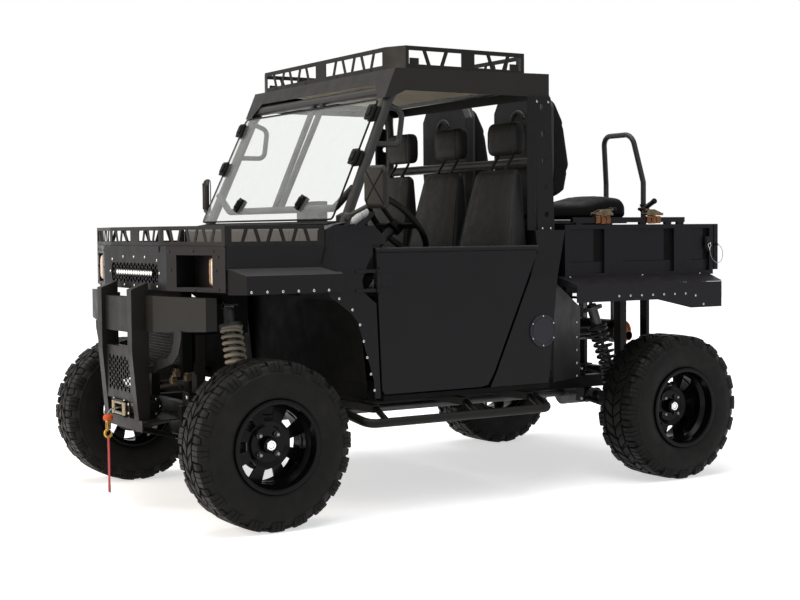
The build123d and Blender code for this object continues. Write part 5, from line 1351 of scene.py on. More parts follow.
def add_hook():
    """The ridged rubber stopper, and the yellow hook with its clevis, pin and spring latch."""
    stopper = Shape()
    profile = [(0.3905, 0.0125), (0.3915, 0.0195), (0.3955, 0.0215), (0.3975, 0.0205), (0.3995, 0.0215),
               (0.4035, 0.0215), (0.4055, 0.0205), (0.4075, 0.0212), (0.4115, 0.0195), (0.4138, 0.0150),
               (0.4138, 0.0062)]
    stopper.lathe(profile, Matrix.Translation(HOOK_AT), 36)
    stopper = stopper.piece("rope_stopper", "orange", smooth=45)
    clevis = Shape()
    for way in (-1, 1):
        clevis.box((way * 0.0085 - 0.0025, -1.492, 0.352), (way * 0.0085 + 0.0025, -1.474, 0.384))
    clevis.box((-0.011, -1.492, 0.380), (0.011, -1.474, 0.390))
    clevis = clevis.piece("hook_clevis", "brass", bevel=0.0012)
    pin = Shape()
    pin.lathe([(-0.015, 0.006), (-0.012, 0.006), (-0.012, 0.0042), (0.012, 0.0042), (0.012, 0.006),
               (0.015, 0.006)], axis_place(HOOK_AT + Vector((0, 0, 0.362)), (1, 0, 0)), 20)
    pin = pin.piece("hook_clevis_pin", "zinc", smooth=40)
    centre = HOOK_AT + Vector((0, 0, 0.334))
    line = [HOOK_AT + Vector((0, 0, 0.364)), HOOK_AT + Vector((0, 0.0015, 0.356))]
    for k in range(15):
        a = math.radians(78 - k * 19)
        line.append(centre + Vector((0, -HOOK_R * math.cos(a), HOOK_R * math.sin(a))))
    n = len(line)
    across = Vector((1, 0, 0))
    rings = []
    for i, at in enumerate(line):
        ahead = (line[min(i + 1, n - 1)] - line[max(i - 1, 0)]).normalized()
        up = across.cross(ahead).normalized()
        thick = 0.0062 - 0.0030 * max(0.0, (i - n * 0.72) / (n * 0.28))
        rings.append([at + across * (thick * 0.9 * math.cos(a)) + up * (thick * math.sin(a))
                      for a in turns(12)])
    hook = Shape().skin(rings)
    hook = hook.piece("winch_hook_body", "brass", smooth=60, slot="hook_brass", replaces=["winch_hook"])
    latch = Shape()
    latch.pipe([(0, -1.4795, 0.352), (0, -1.4715, 0.345), (0, -1.4690, 0.3325)],
               0.0, 8, flat=(0.0042, 0.0012))
    latch = latch.piece("hook_latch", "zinc", smooth=50)
    return [stopper, clevis, pin, hook, latch]


# ---- cab -----------------------------------------------------------------------------------
PANE_UP = Vector((0, 0.427, 0.904))
PANE_OUT = Vector((0, -0.904, 0.427))
PANE_AT = Vector((0, -0.734, 1.238))


def on_pane(x, up, out=0.0):
    """A place on the pane's outer face, or out from it."""
    return PANE_AT + Vector((x, 0, 0)) + PANE_UP * up + PANE_OUT * (out + 0.005)


def pane_turn(at, angle=0.0):
    """A matrix whose local X runs across the pane, Y up it and Z outwards."""
    turn = Matrix((Vector((1, 0, 0)), PANE_UP, PANE_OUT)).transposed().to_4x4()
    return Matrix.Translation(at) @ turn @ Matrix.Rotation(angle, 4, "Z")


CLAMPS = [  # x, distance up the pane, turn, width share
    (-0.628, 0.500, 0.0, 1.0), (-0.640, 0.290, 0.0, 1.0), (-0.300, 0.084, -0.35, 0.62),
    (0.318, 0.084, -0.35, 0.62), (0.640, 0.290, 0.0, 1.0), (0.628, 0.500, 0.0, 1.0),
]


COWL_RIBS = 13


def add_pane_trim():
    """Six clamps that hold the pane to the cage, a seal round its edge, and the cowl under it."""
    clamps = Shape()
    bolts = []
    for x, up, turn, share in CLAMPS:
        place = pane_turn(on_pane(x, up), turn) @ Matrix.Diagonal((share, 1.15, 1, 1))
        clamps.box((-0.026, -0.030, 0.0004), (0.026, 0.030, 0.014), place)
        clamps.box((-0.016, -0.020, 0.014), (0.016, 0.020, 0.021), place)
        clamps.box((-0.026, -0.030, -0.020), (0.026, 0.030, -0.0054), place)
        for way in (-1, 1):
            bolts.append((place @ Vector((0, way * 0.011, 0.021)), PANE_OUT))
    clamps.piece("pane_clamps", "grip", bevel=(0.003, 3))
    add_screws("pane_clamp_bolts", bolts, "chassis", "dark_screw", 0.005, 0.003)
    seal = Shape()
    corners = [(-0.650, 0.003), (0.650, 0.003), (0.6335, 0.563), (-0.6335, 0.563)]
    loop = []
    for i, (x, up) in enumerate(corners):
        (ax, au), (bx, bu) = corners[i - 1], corners[(i + 1) % 4]
        here = Vector((x, up))
        before, after = (Vector((ax, au)) - here).normalized(), (Vector((bx, bu)) - here).normalized()
        for k in range(5):
            t = k / 4
            point = (here + before * 0.02) * (1 - t) ** 2 + here * (2 * t * (1 - t))
            point += (here + after * 0.02) * t * t
            loop.append(on_pane(point.x, point.y, -0.0025))
    seal.pipe(loop, 0.0044, 8, loop=True)
    seal.piece("pane_seal", "grip", smooth=50)
    face = Shape()
    face.box((-0.660, -0.8115, 1.1400), (0.660, -0.8085, 1.1970))
    for k in range(COWL_RIBS):
        x = -0.600 + 0.100 * k
        face.box((x - 0.003, -0.8125, 1.1420), (x + 0.003, -0.8110, 1.1950))
    face.piece("cowl_face", "cowl", bevel=0.0008)
    edging = Shape()
    edging.prism([(-0.7615, 1.2215), (-0.7005, 1.2322), (-0.7005, 1.2352), (-0.7625, 1.2245)],
                 -0.655, 0.655)
    edging.piece("cowl_edging", "grip")


def add_headliner():
    """A quilted foam panel under the roof, which grows thicker rearwards."""
    wide, front, rear = 0.600, -0.375, 0.272
    columns, rows = 73, 43
    quilt = math.pi / 0.10  # diamonds 0.10 m across
    verts, faces = [], []
    for layer in (0, 1):
        for j in range(rows):
            for i in range(columns):
                x = -wide + 2 * wide * i / (columns - 1)
                y = front + (rear - front) * j / (rows - 1)
                edge = min(i, j, columns - 1 - i, rows - 1 - j) / 2
                puff = abs(math.sin((x + y) * quilt) * math.sin((x - y) * quilt)) ** 0.4
                roof = 1.8755 + (y + 0.43) * 0.0158
                fall = 0.050 * (y - front) / (rear - front)
                drop = (0.002 + 0.0065 * puff) * min(edge, 1.0) + fall
                verts.append((x, y, roof if layer else roof - 0.0015 - drop))
    upper = columns * rows  # where the upper layer's points begin
    for j in range(rows - 1):
        for i in range(columns - 1):
            a = j * columns + i
            faces.append((a, a + columns, a + columns + 1, a + 1))
            faces.append((upper + a, upper + a + 1, upper + a + columns + 1, upper + a + columns))
    border = list(range(columns)) + [j * columns + columns - 1 for j in range(1, rows)]
    border += [(rows - 1) * columns + i for i in range(columns - 2, -1, -1)]
    border += [j * columns for j in range(rows - 2, 0, -1)]
    for a, b in zip(border, border[1:] + border[:1]):
        faces.append((a, b, upper + b, upper + a))
    Shape().add(verts, faces).piece("headliner", "liner", smooth=50)


STEERING_AT = Vector((0.350, -0.231, 1.219))
STEERING_AXIS = Vector((0, 0.76, 0.65))
STITCH_R = 0.1552  # along the rim's inner side
DIAL_FACING = (0, 0.685, 0.728)


def add_dash_detail():
    """Instrument pod, screen, switches, vents, glovebox, wheel boss, pedals, shifter and floor mats."""
    pod = Shape()
    pod.prism([(-0.500, 1.196), (-0.500, 1.262), (-0.470, 1.276), (-0.395, 1.276), (-0.400, 1.262),
               (-0.470, 1.196)], 0.262, 0.438)
    pod.box((-0.110, -0.500, 1.160), (0.110, -0.455, 1.330))
    pod.piece("instrument_pod", "dash", bevel=(0.004, 3))
    dials = Shape()
    dials.lathe([(0, 0.050), (0.003, 0.050)], axis_place((0.350, -0.4345, 1.2345), DIAL_FACING), 40)
    dials.box((-0.098, -0.456, 1.190), (0.098, -0.4536, 1.318))
    dials.piece("dash_screens", "screen")
    rims = Shape()
    rims.pipe(circle_points((0.350, -0.4325, 1.2372), 0.051, DIAL_FACING, 40), 0.0032, 8, loop=True)
    for k in range(4):
        x = -0.060 + 0.040 * k
        rims.box((x - 0.012, -0.4705, 1.105), (x + 0.012, -0.4640, 1.135))
    rims.piece("dash_rims_and_keys", "seat_shell", smooth=40, bevel=0.0012)
    keys = Shape()
    for k in range(4):
        x = -0.060 + 0.040 * k
        keys.box((x - 0.0055, -0.4640, 1.117), (x + 0.0055, -0.4630, 1.123))
    for x in (0.505, 0.535):
        keys.lathe([(0, 0.007), (0.006, 0.0065)], axis_place((x, -0.475, 1.100), (0, 1, 0.1)), 16)
    keys.piece("dash_marks", "sensor")
    vents = Shape()
    for x in (-0.500, -0.200, 0.200, 0.520):
        for k in range(5):
            z = 1.152 + 0.0075 * k
            vents.box((x - 0.042, -0.4745 - 0.009 * k, z), (x + 0.042, -0.4665 - 0.009 * k, z + 0.0032))
    vents.piece("dash_vents", "grip")
    seams = Shape()
    right, left, low, high = -0.56, -0.20, 1.060, 1.130  # the glovebox lid's edges
    for (x0, z0), (x1, z1) in (((right, low), (left, low)), ((right, high), (left, high)),
                               ((right, low), (right, high)), ((left, low), (left, high))):
        y0, y1 = (-0.490 + (z - 1.040) * 0.182 + 0.0008 for z in (z0, z1))
        seams.pipe([(x0, y0, z0), (x1, y1, z1)], 0.0018, 6)
    seams.piece("glovebox_seam", "grip")
    boss = Shape()
    axis, centre = STEERING_AXIS.normalized(), STEERING_AT
    boss.lathe([(0, 0.034), (0.008, 0.033), (0.012, 0.028), (0.013, 0.001)], axis_place(centre, axis), 36)
    boss.piece("steering_wheel_boss", "dash", "steering_wheel", smooth=40)
    stitches = Shape()
    across, up = cross_section_frame(axis)
    for a in turns(72):
        stitches.ball(round_point(centre, across, up, STITCH_R, a), 0.0022, 6)
    stitches.piece("steering_wheel_stitches", "cloth", "steering_wheel", smooth=60)
    pedals = Shape()
    for x, z, wide in ((0.440, 0.600, 0.030), (0.300, 0.620, 0.045)):
        place = Matrix.Translation((x, -0.545, z)) @ Matrix.Rotation(math.radians(-32), 4, "X")
        pedals.box((-wide, -0.006, -0.045), (wide, 0.0, 0.045), place)
        for k in range(5):
            low, high = -0.036 + 0.016 * k, -0.029 + 0.016 * k
            pedals.box((-wide * 0.86, 0.0, low), (wide * 0.86, 0.0035, high), place)
        pedals.pipe([(x, -0.552, z), (x, -0.600, z + 0.060), (x, -0.622, z + 0.200)], 0.0075, 12)
    pedals.piece("pedals", "steel", bevel=0.001)
    shifter = Shape()
    shifter.pipe([(0.120, -0.500, 1.060), (0.120, -0.435, 1.085), (0.120, -0.400, 1.130)], 0.006, 12)
    shifter.ball((0.120, -0.396, 1.142), 0.020, 20, squash=(1, 1, 1.15))
    shifter.piece("gear_lever", "grip", smooth=50)
    mats = Shape()
    for k in range(18):
        y = -0.610 + 0.0225 * k
        mats.box((-0.660, y, 0.4835), (0.660, y + 0.011, 0.4865))
    mats.box((-0.675, -0.618, 0.4802), (0.675, -0.205, 0.4838))
    mats.piece("floor_mat", "grip")


def add_cab_sensor():
    """A small pale canister that leans back above the left end of the dash."""
    canister = Shape()
    place = axis_place((0.500, -0.558, 1.224), (0, 0.084, 0.061))
    canister.lathe([(0, 0.012), (0.003, 0.0165), (0.060, 0.0165), (0.064, 0.0200), (0.088, 0.0200),
                    (0.091, 0.0160), (0.098, 0.0150), (0.099, 0.0050)], place, 28)
    canister.piece("cab_canister", "sensor", smooth=40)
    bracket = Shape()
    bracket.box((0.484, -0.556, 1.190), (0.516, -0.546, 1.226))
    bracket.piece("cab_canister_bracket", "steel", bevel=0.001)


RADIATOR_X = 0.235
RADIATOR_FINS = 24


def add_nose_interior():
    """The radiator, its fan shroud and hoses, and the bottle and relays that show under the nose."""
    core, tanks, fins = Shape(), Shape(), Shape()
    core.box((-RADIATOR_X, -1.2420, 0.610), (RADIATOR_X, -1.2080, 0.925))
    for x in (-0.262, 0.230):
        tanks.box((x, -1.2500, 0.600), (x + 0.032, -1.2000, 0.936))
    tanks.box((-0.255, -1.2480, 0.922), (0.255, -1.2020, 0.944))
    tanks.box((-0.190, -1.2080, 0.640), (0.190, -1.1700, 0.905))
    for k in range(RADIATOR_FINS):
        z = 0.618 + 0.0128 * k
        fins.box((-0.2345, -1.2445, z), (0.2345, -1.2420, z + 0.0045))
    core.piece("radiator_core", "grip")
    fins.piece("radiator_fins", "steel")
    tanks.piece("radiator_tanks", "inner", bevel=(0.004, 3))
    hoses = Shape()
    hoses.pipe(rounded_path([(0.246, -1.225, 0.890), (0.246, -1.180, 0.900), (0.200, -1.100, 0.860),
                             (0.180, -0.980, 0.700)], 0.05), 0.016, 16)
    hoses.pipe(rounded_path([(-0.246, -1.225, 0.650), (-0.246, -1.170, 0.640), (-0.180, -1.050, 0.600),
                             (-0.140, -0.950, 0.560)], 0.05), 0.016, 16)
    hoses.piece("radiator_hoses", "grip", smooth=60)
    bottle = Shape()
    bottle.box((0.300, -1.290, 0.800), (0.360, -1.235, 0.900))
    bottle.lathe([(0, 0.017), (0.012, 0.017), (0.014, 0.014)],
                 axis_place((0.330, -1.262, 0.900), (0, 0, 1)), 20)
    bottle.piece("washer_bottle", "facet", bevel=(0.006, 3))
    relays = Shape()
    for k, (y, z) in enumerate(((-1.310, 0.560), (-1.310, 0.592), (-1.275, 0.575))):
        relays.box((0.262 + 0.034 * k, y, z), (0.290 + 0.034 * k, y + 0.028, z + 0.024))
        relays.box((0.266 + 0.034 * k, y + 0.004, z + 0.024), (0.286 + 0.034 * k, y + 0.024, z + 0.034))
    relays.piece("winch_relays", "buckle", bevel=0.002)
    shrouds = Shape()
    for side in (-1, 1):
        shrouds.box((side * 0.455 - 0.200, -1.238, 0.9440), (side * 0.455 + 0.200, -0.900, 0.9490))
        shrouds.box((side * 0.300 - 0.002, -1.200, 0.760), (side * 0.300 + 0.002, -0.960, 0.944))
    shrouds.box((-0.222, -0.9440, 0.530), (0.222, -0.9400, 0.935))
    for k in range(5):
        shrouds.box((-0.200, -0.9470, 0.580 + 0.070 * k), (0.200, -0.9435, 0.600 + 0.070 * k))
    shrouds.piece("nose_shrouds", "inner")


# ---- rear ----------------------------------------------------------------------------------
RATCHETS = [(0.700, 1.0), (1.012, -1.0)]  # y on the left load rail, and which way the lever points
RAIL_MIDDLE = Vector((0.665, 0, 1.234))
WEB_W = 0.025
WEB_T = 0.0022
PLATE_T = 0.002  # of the buckles' frames and levers


def add_ratchets():
    """Two ratchet buckles on the left load rail with their webbing wound round it."""
    web, steel, grips = Shape(), Shape(), Shape()
    for y, way in RATCHETS:
        for offset, lift in ((-0.030, 0.0), (0.0, 0.0026), (0.031, 0.001)):
            x0, x1, z0, z1 = 0.652 - lift, 0.678 + lift, 1.2195 - lift, 1.2485 + lift
            loop = rounded_path([(x0, 0, (z0 + z1) / 2), (x0, 0, z1), (x1, 0, z1), (x1, 0, z0), (x0, 0, z0),
                                 (x0, 0, (z0 + z1) / 2)], 0.008, 4)
            rings = []
            for point in loop[:-1]:
                near = Vector((point.x, y + offset - WEB_W / 2, point.z))
                out = (Vector((near.x, 0, near.z)) - RAIL_MIDDLE).normalized() * WEB_T
                across = Vector((0, WEB_W, 0))
                rings.append([near, near + out, near + out + across, near + across])
            web.skin(rings, closed=True)
        at = Vector((0.668, y, 1.2525))
        roll = [(-0.0165, 0.0115), (-0.0160, 0.0135), (0.0160, 0.0135), (0.0165, 0.0115)]
        web.lathe(roll, axis_place(at + Vector((0, way * 0.006, 0.014)), (1, 0, 0)), 26)
        for x in (-0.0205, 0.0185):
            plate = [(y - 0.052, at.z + 0.002), (y + 0.052, at.z + 0.002), (y + 0.050, at.z + 0.012),
                     (y + way * 0.018 + 0.014, at.z + 0.031), (y + way * 0.018 - 0.020, at.z + 0.031),
                     (y - 0.050, at.z + 0.012)]
            steel.prism(plate, at.x + x, at.x + x + PLATE_T)
            teeth = [around(0.0165 if k % 2 else 0.0140, a, 0)[:2] for k, a in enumerate(turns(16))]
            gear_x = at.x + x + (0.0035 if x > 0 else -0.0015)
            steel.prism(teeth, -0.0012, 0.0012, "z",
                        axis_place(Vector((gear_x, y + way * 0.006, at.z + 0.014)), (1, 0, 0)))
        for end in (-0.044, 0.044):
            steel.lathe([(-0.024, 0.0052), (-0.0235, 0.0060), (0.0235, 0.0060), (0.024, 0.0052)],
                        axis_place((at.x, y + end, at.z + 0.008), (1, 0, 0)), 14)
        tip = y + way * 0.066
        for x in (-0.0165, 0.0145):
            steel.prism([(y + way * 0.004, at.z + 0.018), (y + way * 0.008, at.z + 0.028),
                         (tip, at.z + 0.036), (tip, at.z + 0.028)], at.x + x, at.x + x + PLATE_T)
        grips.lathe([(-0.022, 0.0060), (-0.0205, 0.0078), (0.0205, 0.0078), (0.022, 0.0060)],
                    axis_place((at.x, tip, at.z + 0.032), (1, 0, 0)), 18)
    web.piece("ratchet_webbing", "ratchet_web", "bed", smooth=50)
    steel.piece("ratchet_frames", "buckle", "bed", bevel=0.0005)
    grips.piece("ratchet_grips", "grip", "bed", smooth=45)


BED_RECESSES = [(0.646, 0.703), (1.082, 1.139), (1.337, 1.372)]
BED_CREASES = [(0.500, 0.642), (0.818, 1.078), (1.253, 1.333)]


def add_bed_sides():
    """Painted shade: dark plates on the floor of each deep recess, and a dark strip along the pressed crease
    that crosses the shallow ones.
    """
    shade_plates, creases = Shape(), Shape()
    for y0, y1 in BED_RECESSES:
        # a thin dark plate that paints the shade in a deep recess
        shade_plates.box((BED_X - 0.0159, y0, 0.992), (BED_X - 0.0154, y1, 1.190))
    for y0, y1 in BED_CREASES:
        # a thin dark strip that paints the shade in the crease
        creases.pipe([(BED_X - 0.0068, y0, 1.039), (BED_X - 0.0068, y1, 1.039)],
                     0.0, 8, flat=(0.0030, 0.0014))
    shade_plates.mirrored().piece("bed_recess_painted_shade", "inner", "bed")
    creases.mirrored().piece("bed_crease_painted_shade", "inner", "bed", smooth=50)


def add_bed_detail():
    """Floor ribs, tail lamp rims, screws, latches, and the grab bar's cap and clamps."""
    ribs = Shape()
    for k in range(13):
        x = -0.540 + 0.090 * k
        ribs.box((x - 0.014, 1.245, 0.9855), (x + 0.014, 1.385, 0.9905))
    ribs.piece("bed_floor_ribs", "bed", "bed", bevel=0.0012)
    rims = Shape()
    near, far, low, high, y = 0.544, 0.636, 0.912, 0.961, 1.3925
    loop = rounded_path([(near, y, 0.937), (near, y, high), (far, y, high), (far, y, low), (near, y, low),
                         (near, y, 0.937)], 0.008, 4)
    rims.pipe(loop[:-1], 0.0024, 8, loop=True)
    rims.box((0.589, 1.3915, 0.913), (0.591, 1.3935, 0.960))
    rims.mirrored().piece("tail_lamp_rims", "grip", "bed", smooth=45)
    gate = [((way * x, 1.4300, z), (0, 1, 0))
            for way in (-1, 1) for x in (0.224, 0.660) for z in (1.020, 1.100, 1.185)]
    add_screws("tailgate_screws", gate, "tailgate", "dark_screw", 0.005, 0.0028)
    posts = [((BED_X, y, z), (1, 0, 0)) for y in (0.484, 0.760, 1.196, 1.386) for z in (1.005, 1.185)]
    add_screws("bed_side_screws", both_sides(posts), "bed", "dark_screw", 0.0045, 0.0024)
    clips = Shape()
    clips.box((0.6868, 1.347, 1.096), (0.6895, 1.361, 1.144))
    clips.lathe([(0, 0.006), (0.0035, 0.0055)], axis_place((0.6868, 1.354, 1.084), (1, 0, 0)), 18)
    clips.mirrored().piece("bed_latches", "steel", "bed", smooth=40, bevel=0.0006)
    caps = Shape()
    caps.lathe([(-0.002, 0.0140), (0.003, 0.0146), (0.010, 0.0142), (0.012, 0.0120)],
               axis_place((0.301, 1.352, 1.330), (0.095, -0.014, 0.040)), 24)
    caps.piece("grab_bar_cap", "grip", "bed", smooth=45)
    clamp = Shape()
    for z in (1.286, 1.312):
        clamp.lathe([(0, 0.0150), (0.001, 0.0185), (0.012, 0.0185), (0.013, 0.0150)],
                    axis_place((0.206, 1.366, z - 0.0065), (0, 0, 1)), 28, closed=True)
    clamp.lathe([(0, 0.014), (0.002, 0.0165), (0.020, 0.0165), (0.022, 0.014)],
                axis_place((0.222, 1.3636, 1.2965), (0.095, -0.014, 0.040)), 28, closed=True)
    clamp.piece("grab_bar_clamps", "grip", "bed", smooth=40)


HANDLE_R = 0.052
HANDLE_Y, HANDLE_Z = 0.476, 1.700


def add_rear_shell_detail():
    """The carrying handle's sleeves and mounts, the screws, and the top facets of each shell, painted pale
    grey as a highlight.
    """
    facets, pads = Shape(), Shape()
    screws = []
    for _, x in REAR_SEATS:
        for way in (-1, 1):
            # the shell's top facets, painted pale grey as a highlight where light from above falls
            corner = [(0.122, 1.8325), (0.176, 1.8325), (0.2200, 1.7660), (0.2145, 1.7440)]
            inner = [(0.118, 1.8130), (0.166, 1.8100), (0.2010, 1.7610), (0.2020, 1.7440)]
            verts = [(x + way * a, 0.5005, z) for a, z in corner]
            verts += [(x + way * a, 0.4890, z) for a, z in inner]
            verts += [(x + way * a * 0.99, 0.5045, z - 0.004) for a, z in corner]
            faces = [(0, 1, 5, 4), (1, 2, 6, 5), (2, 3, 7, 6), (0, 8, 9, 1), (1, 9, 10, 2), (2, 10, 11, 3)]
            faces += [(4, 5, 9, 8), (5, 6, 10, 9), (6, 7, 11, 10), (0, 4, 8), (3, 11, 7)]
            facets.add(verts, faces)
            pads.box((x + way * 0.044 - 0.012, 0.470, 1.676), (x + way * 0.044 + 0.012, 0.480, 1.700))
            for z in (1.270, 1.460):
                screws.append(((x + way * 0.196, 0.4995, z), (0, -1, 0)))
    facets.piece("shell_top_lit_facets", "facet", "bed", smooth=30)
    sleeves = Shape()
    for _, x in REAR_SEATS:
        arc = [(x + HANDLE_R * math.cos(a), HANDLE_Y, HANDLE_Z + HANDLE_R * math.sin(a))
               for a in (math.radians(20 + 10 * k) for k in range(15))]
        sleeves.pipe(arc, 0.0112, 14)
        for a in (math.radians(38), math.radians(142)):
            at = Vector((x + HANDLE_R * math.cos(a), HANDLE_Y, HANDLE_Z + HANDLE_R * math.sin(a)))
            sleeves.lathe([(-0.004, 0.0112), (-0.003, 0.0128), (0.003, 0.0128), (0.004, 0.0112)],
                          axis_place(at, (-math.sin(a), 0, math.cos(a))), 18)
    sleeves.piece("shell_handle_sleeves", "cage", "bed", smooth=50)
    pads.piece("shell_handle_mounts", "grip", "bed", bevel=0.002)
    add_screws("shell_screws", screws, "bed", "dark_screw", 0.006, 0.003)


# ---- running gear --------------------------------------------------------------------------
def bellows(shape, start, end, big, small, folds):
    """A ridged rubber boot between two points."""
    run = Vector(end) - Vector(start)
    profile = []
    for k in range(folds * 2 + 1):
        share = k / (folds * 2)
        radius = big + (small - big) * share
        profile.append((run.length * share, radius if k % 2 == 0 else radius + 0.0045))
    shape.lathe(profile, axis_place(start, run), 28)


CALIPERS = [  # wheel, side, axle y, the disc's x, body
    ("front_left", 1, FRONT_AXLE_Y, 0.702, "left_knuckle"),
    ("front_right", -1, FRONT_AXLE_Y, 0.702, "right_knuckle"),
    ("rear_left", 1, REAR_AXLE_Y, 0.690, "chassis"),
    ("rear_right", -1, REAR_AXLE_Y, 0.690, "chassis"),
]


def add_running_gear():
    """Boots on the shafts and tie rods, ball joint caps, arm bolts, brake pipes and calipers."""
    boots = Shape()
    for axle in (FRONT_AXLE_Y, REAR_AXLE_Y):
        bellows(boots, (0.112, axle, TYRE_R), (0.205, axle, TYRE_R), 0.041, 0.020, 6)
    for axle, hub_x in ((FRONT_AXLE_Y, 0.500), (REAR_AXLE_Y, 0.506)):
        bellows(boots, (hub_x, axle, TYRE_R), (0.430, axle, TYRE_R), 0.033, 0.017, 5)
    boots.mirrored().piece("shaft_boots", "grip", smooth=40)
    ties = Shape()
    y = FRONT_AXLE_Y + 0.100
    bellows(ties, (0.300, y, 0.385), (0.402, y, 0.385), 0.0150, 0.0105, 9)
    ties.mirrored().piece("tie_rod_boots", "grip", smooth=40)
    caps = Shape()
    for axle, ball_x in ((FRONT_AXLE_Y, 0.630), (REAR_AXLE_Y, 0.606)):
        for z, way in ((0.446, 1), (0.242, -1)):
            caps.lathe([(0, 0.0200), (0.004, 0.0190), (0.006, 0.010)],
                       axis_place((ball_x, axle, z), (0, 0, way)), 28)
    caps.mirrored().piece("ball_joint_caps", "cast", smooth=40)
    bolts = []
    for axle, spread in ((FRONT_AXLE_Y, 0.120), (REAR_AXLE_Y, 0.150)):
        for way in (-1, 1):
            for z in (0.350, 0.500):
                bolts.append(((0.294, axle + way * (spread + 0.026), z), (0, way, 0)))
    add_screws("arm_bolts", both_sides(bolts), "chassis", "zinc", 0.010, 0.007)
    lines = Shape()
    lines.pipe(rounded_path([(0.286, -1.020, 0.470), (0.330, -1.030, 0.508), (0.480, -1.072, 0.492),
                             (0.560, -1.090, 0.470)], 0.03), 0.0035, 8)
    lines.pipe(rounded_path([(0.286, 1.130, 0.470), (0.330, 1.120, 0.505), (0.480, 1.088, 0.488),
                             (0.560, 1.072, 0.466)], 0.03), 0.0035, 8)
    lines.mirrored().piece("brake_pipes", "steel", smooth=60)
    for name, side, axle, disc_x, body in CALIPERS:
        caliper = Shape()
        place = Matrix.Translation((side * (disc_x - 0.013), axle, TYRE_R))
        place = place @ Matrix.Rotation(math.radians(40), 4, "X")
        caliper.box((-0.0075, 0.070, -0.038), (0.0075, 0.122, 0.038), place)
        for z in (-0.024, 0.024):
            caliper.lathe([(-0.0125, 0.008), (0.0070, 0.008)],
                          place @ axis_place((0, 0.112, z), (1, 0, 0)), 16)
        caliper.piece(name + "_caliper", "cast", body, bevel=(0.003, 3))


MUFFLER_Y, MUFFLER_Z = 1.250, 0.660


def add_muffler_detail():
    """The muffler's copper-tinted end cap, its bands and the outlet's rolled lip."""
    cap = Shape()
    cap.lathe([(0, 0.0588), (0.003, 0.0596), (0.007, 0.0588), (0.0075, 0.050), (0.003, 0.046),
               (0.003, 0.001)], axis_place((0.1695, MUFFLER_Y, MUFFLER_Z), (1, 0, 0)), 56)
    cap.piece("muffler_end_cap", "copper", smooth=40)
    bands = Shape()
    for x in (-0.150, 0.090):
        bands.lathe([(0, 0.0584), (0.001, 0.0604), (0.021, 0.0604), (0.022, 0.0584)],
                    axis_place((x, MUFFLER_Y, MUFFLER_Z), (1, 0, 0)), 56, closed=True)
        bands.box((x + 0.002, 1.240, 0.7195), (x + 0.020, 1.260, 0.8720))
    bands.piece("muffler_bands", "cast", smooth=40)
    lip = Shape()
    lip.lathe([(0.0, 0.0242), (0.001, 0.0258), (0.008, 0.0258), (0.009, 0.0242), (0.009, 0.0212),
               (0.0, 0.0212)], axis_place((0.2145, MUFFLER_Y, 0.641), (1, 0, 0)), 36, closed=True)
    lip.piece("exhaust_lip", "copper", smooth=40)


# ---- doors and racks -----------------------------------------------------------------------
def add_door_detail():
    """Hinge screws, the latch and the inner pull of each half door, and the cheeks' seams."""
    for side, body in ((1, "left_door"), (-1, "right_door")):
        screws = [((side * 0.764, y, z), (side, 0, 0)) for y in (-0.562, -0.530) for z in (0.970, 1.000)]
        add_screws(body + "_hinge_screws", screws, body, "dark_screw", 0.0045, 0.0024)
        latch = Shape()
        latch.box((0.722, 0.150, 1.000), (0.7275, 0.212, 1.050))
        latch.box((0.712, 0.160, 1.012), (0.722, 0.196, 1.030))
        latch.pipe(rounded_path([(0.727, -0.060, 1.040), (0.706, -0.050, 1.040), (0.706, 0.050, 1.040),
                                 (0.727, 0.060, 1.040)], 0.014, 4), 0.0065, 12)
        if side < 0:
            latch.verts, latch.faces = latch.reflection()
        latch.piece(body + "_latch", "grip", body, smooth=40, bevel=0.001)
    seam = Shape()
    seam.pipe([(0.7148, -0.8035, 1.132), (0.7148, -0.8235, 1.062)], 0.0, 8, flat=(0.0022, 0.0010))
    seam.mirrored().piece("cheek_seams", "inner", smooth=50)


def add_rack_detail():
    """The screws at the foot of both racks, and the brackets inside the roof rack."""
    screws = []
    for x in (-0.450, -0.150, 0.150, 0.450):
        screws += [((x, -0.4235, 1.893), (0, -1, 0)), ((x, 0.2975, 1.902), (0, 1, 0))]
    for y in (-0.330, -0.055, 0.200):
        screws += [((side * 0.6685, y, 1.896), (side, 0, 0)) for side in (-1, 1)]
    for y in (-1.200, -1.030, -0.860):
        screws += [((side * BODY_X, y, 1.1425), (side, 0, 0)) for side in (-1, 1)]
    add_screws("rack_screws", screws, "chassis", "dark_screw", 0.0045, 0.0026)
    brackets = Shape()
    for y in (-0.330, 0.200):
        brackets.box((0.655, y - 0.022, 1.8885), (0.6638, y + 0.022, 1.9300))
        brackets.box((0.620, y - 0.022, 1.8900), (0.660, y + 0.022, 1.8940))
    brackets.mirrored()
    brackets.piece("rack_brackets", "steel", bevel=0.001)


RACK_SHEET = 0.004
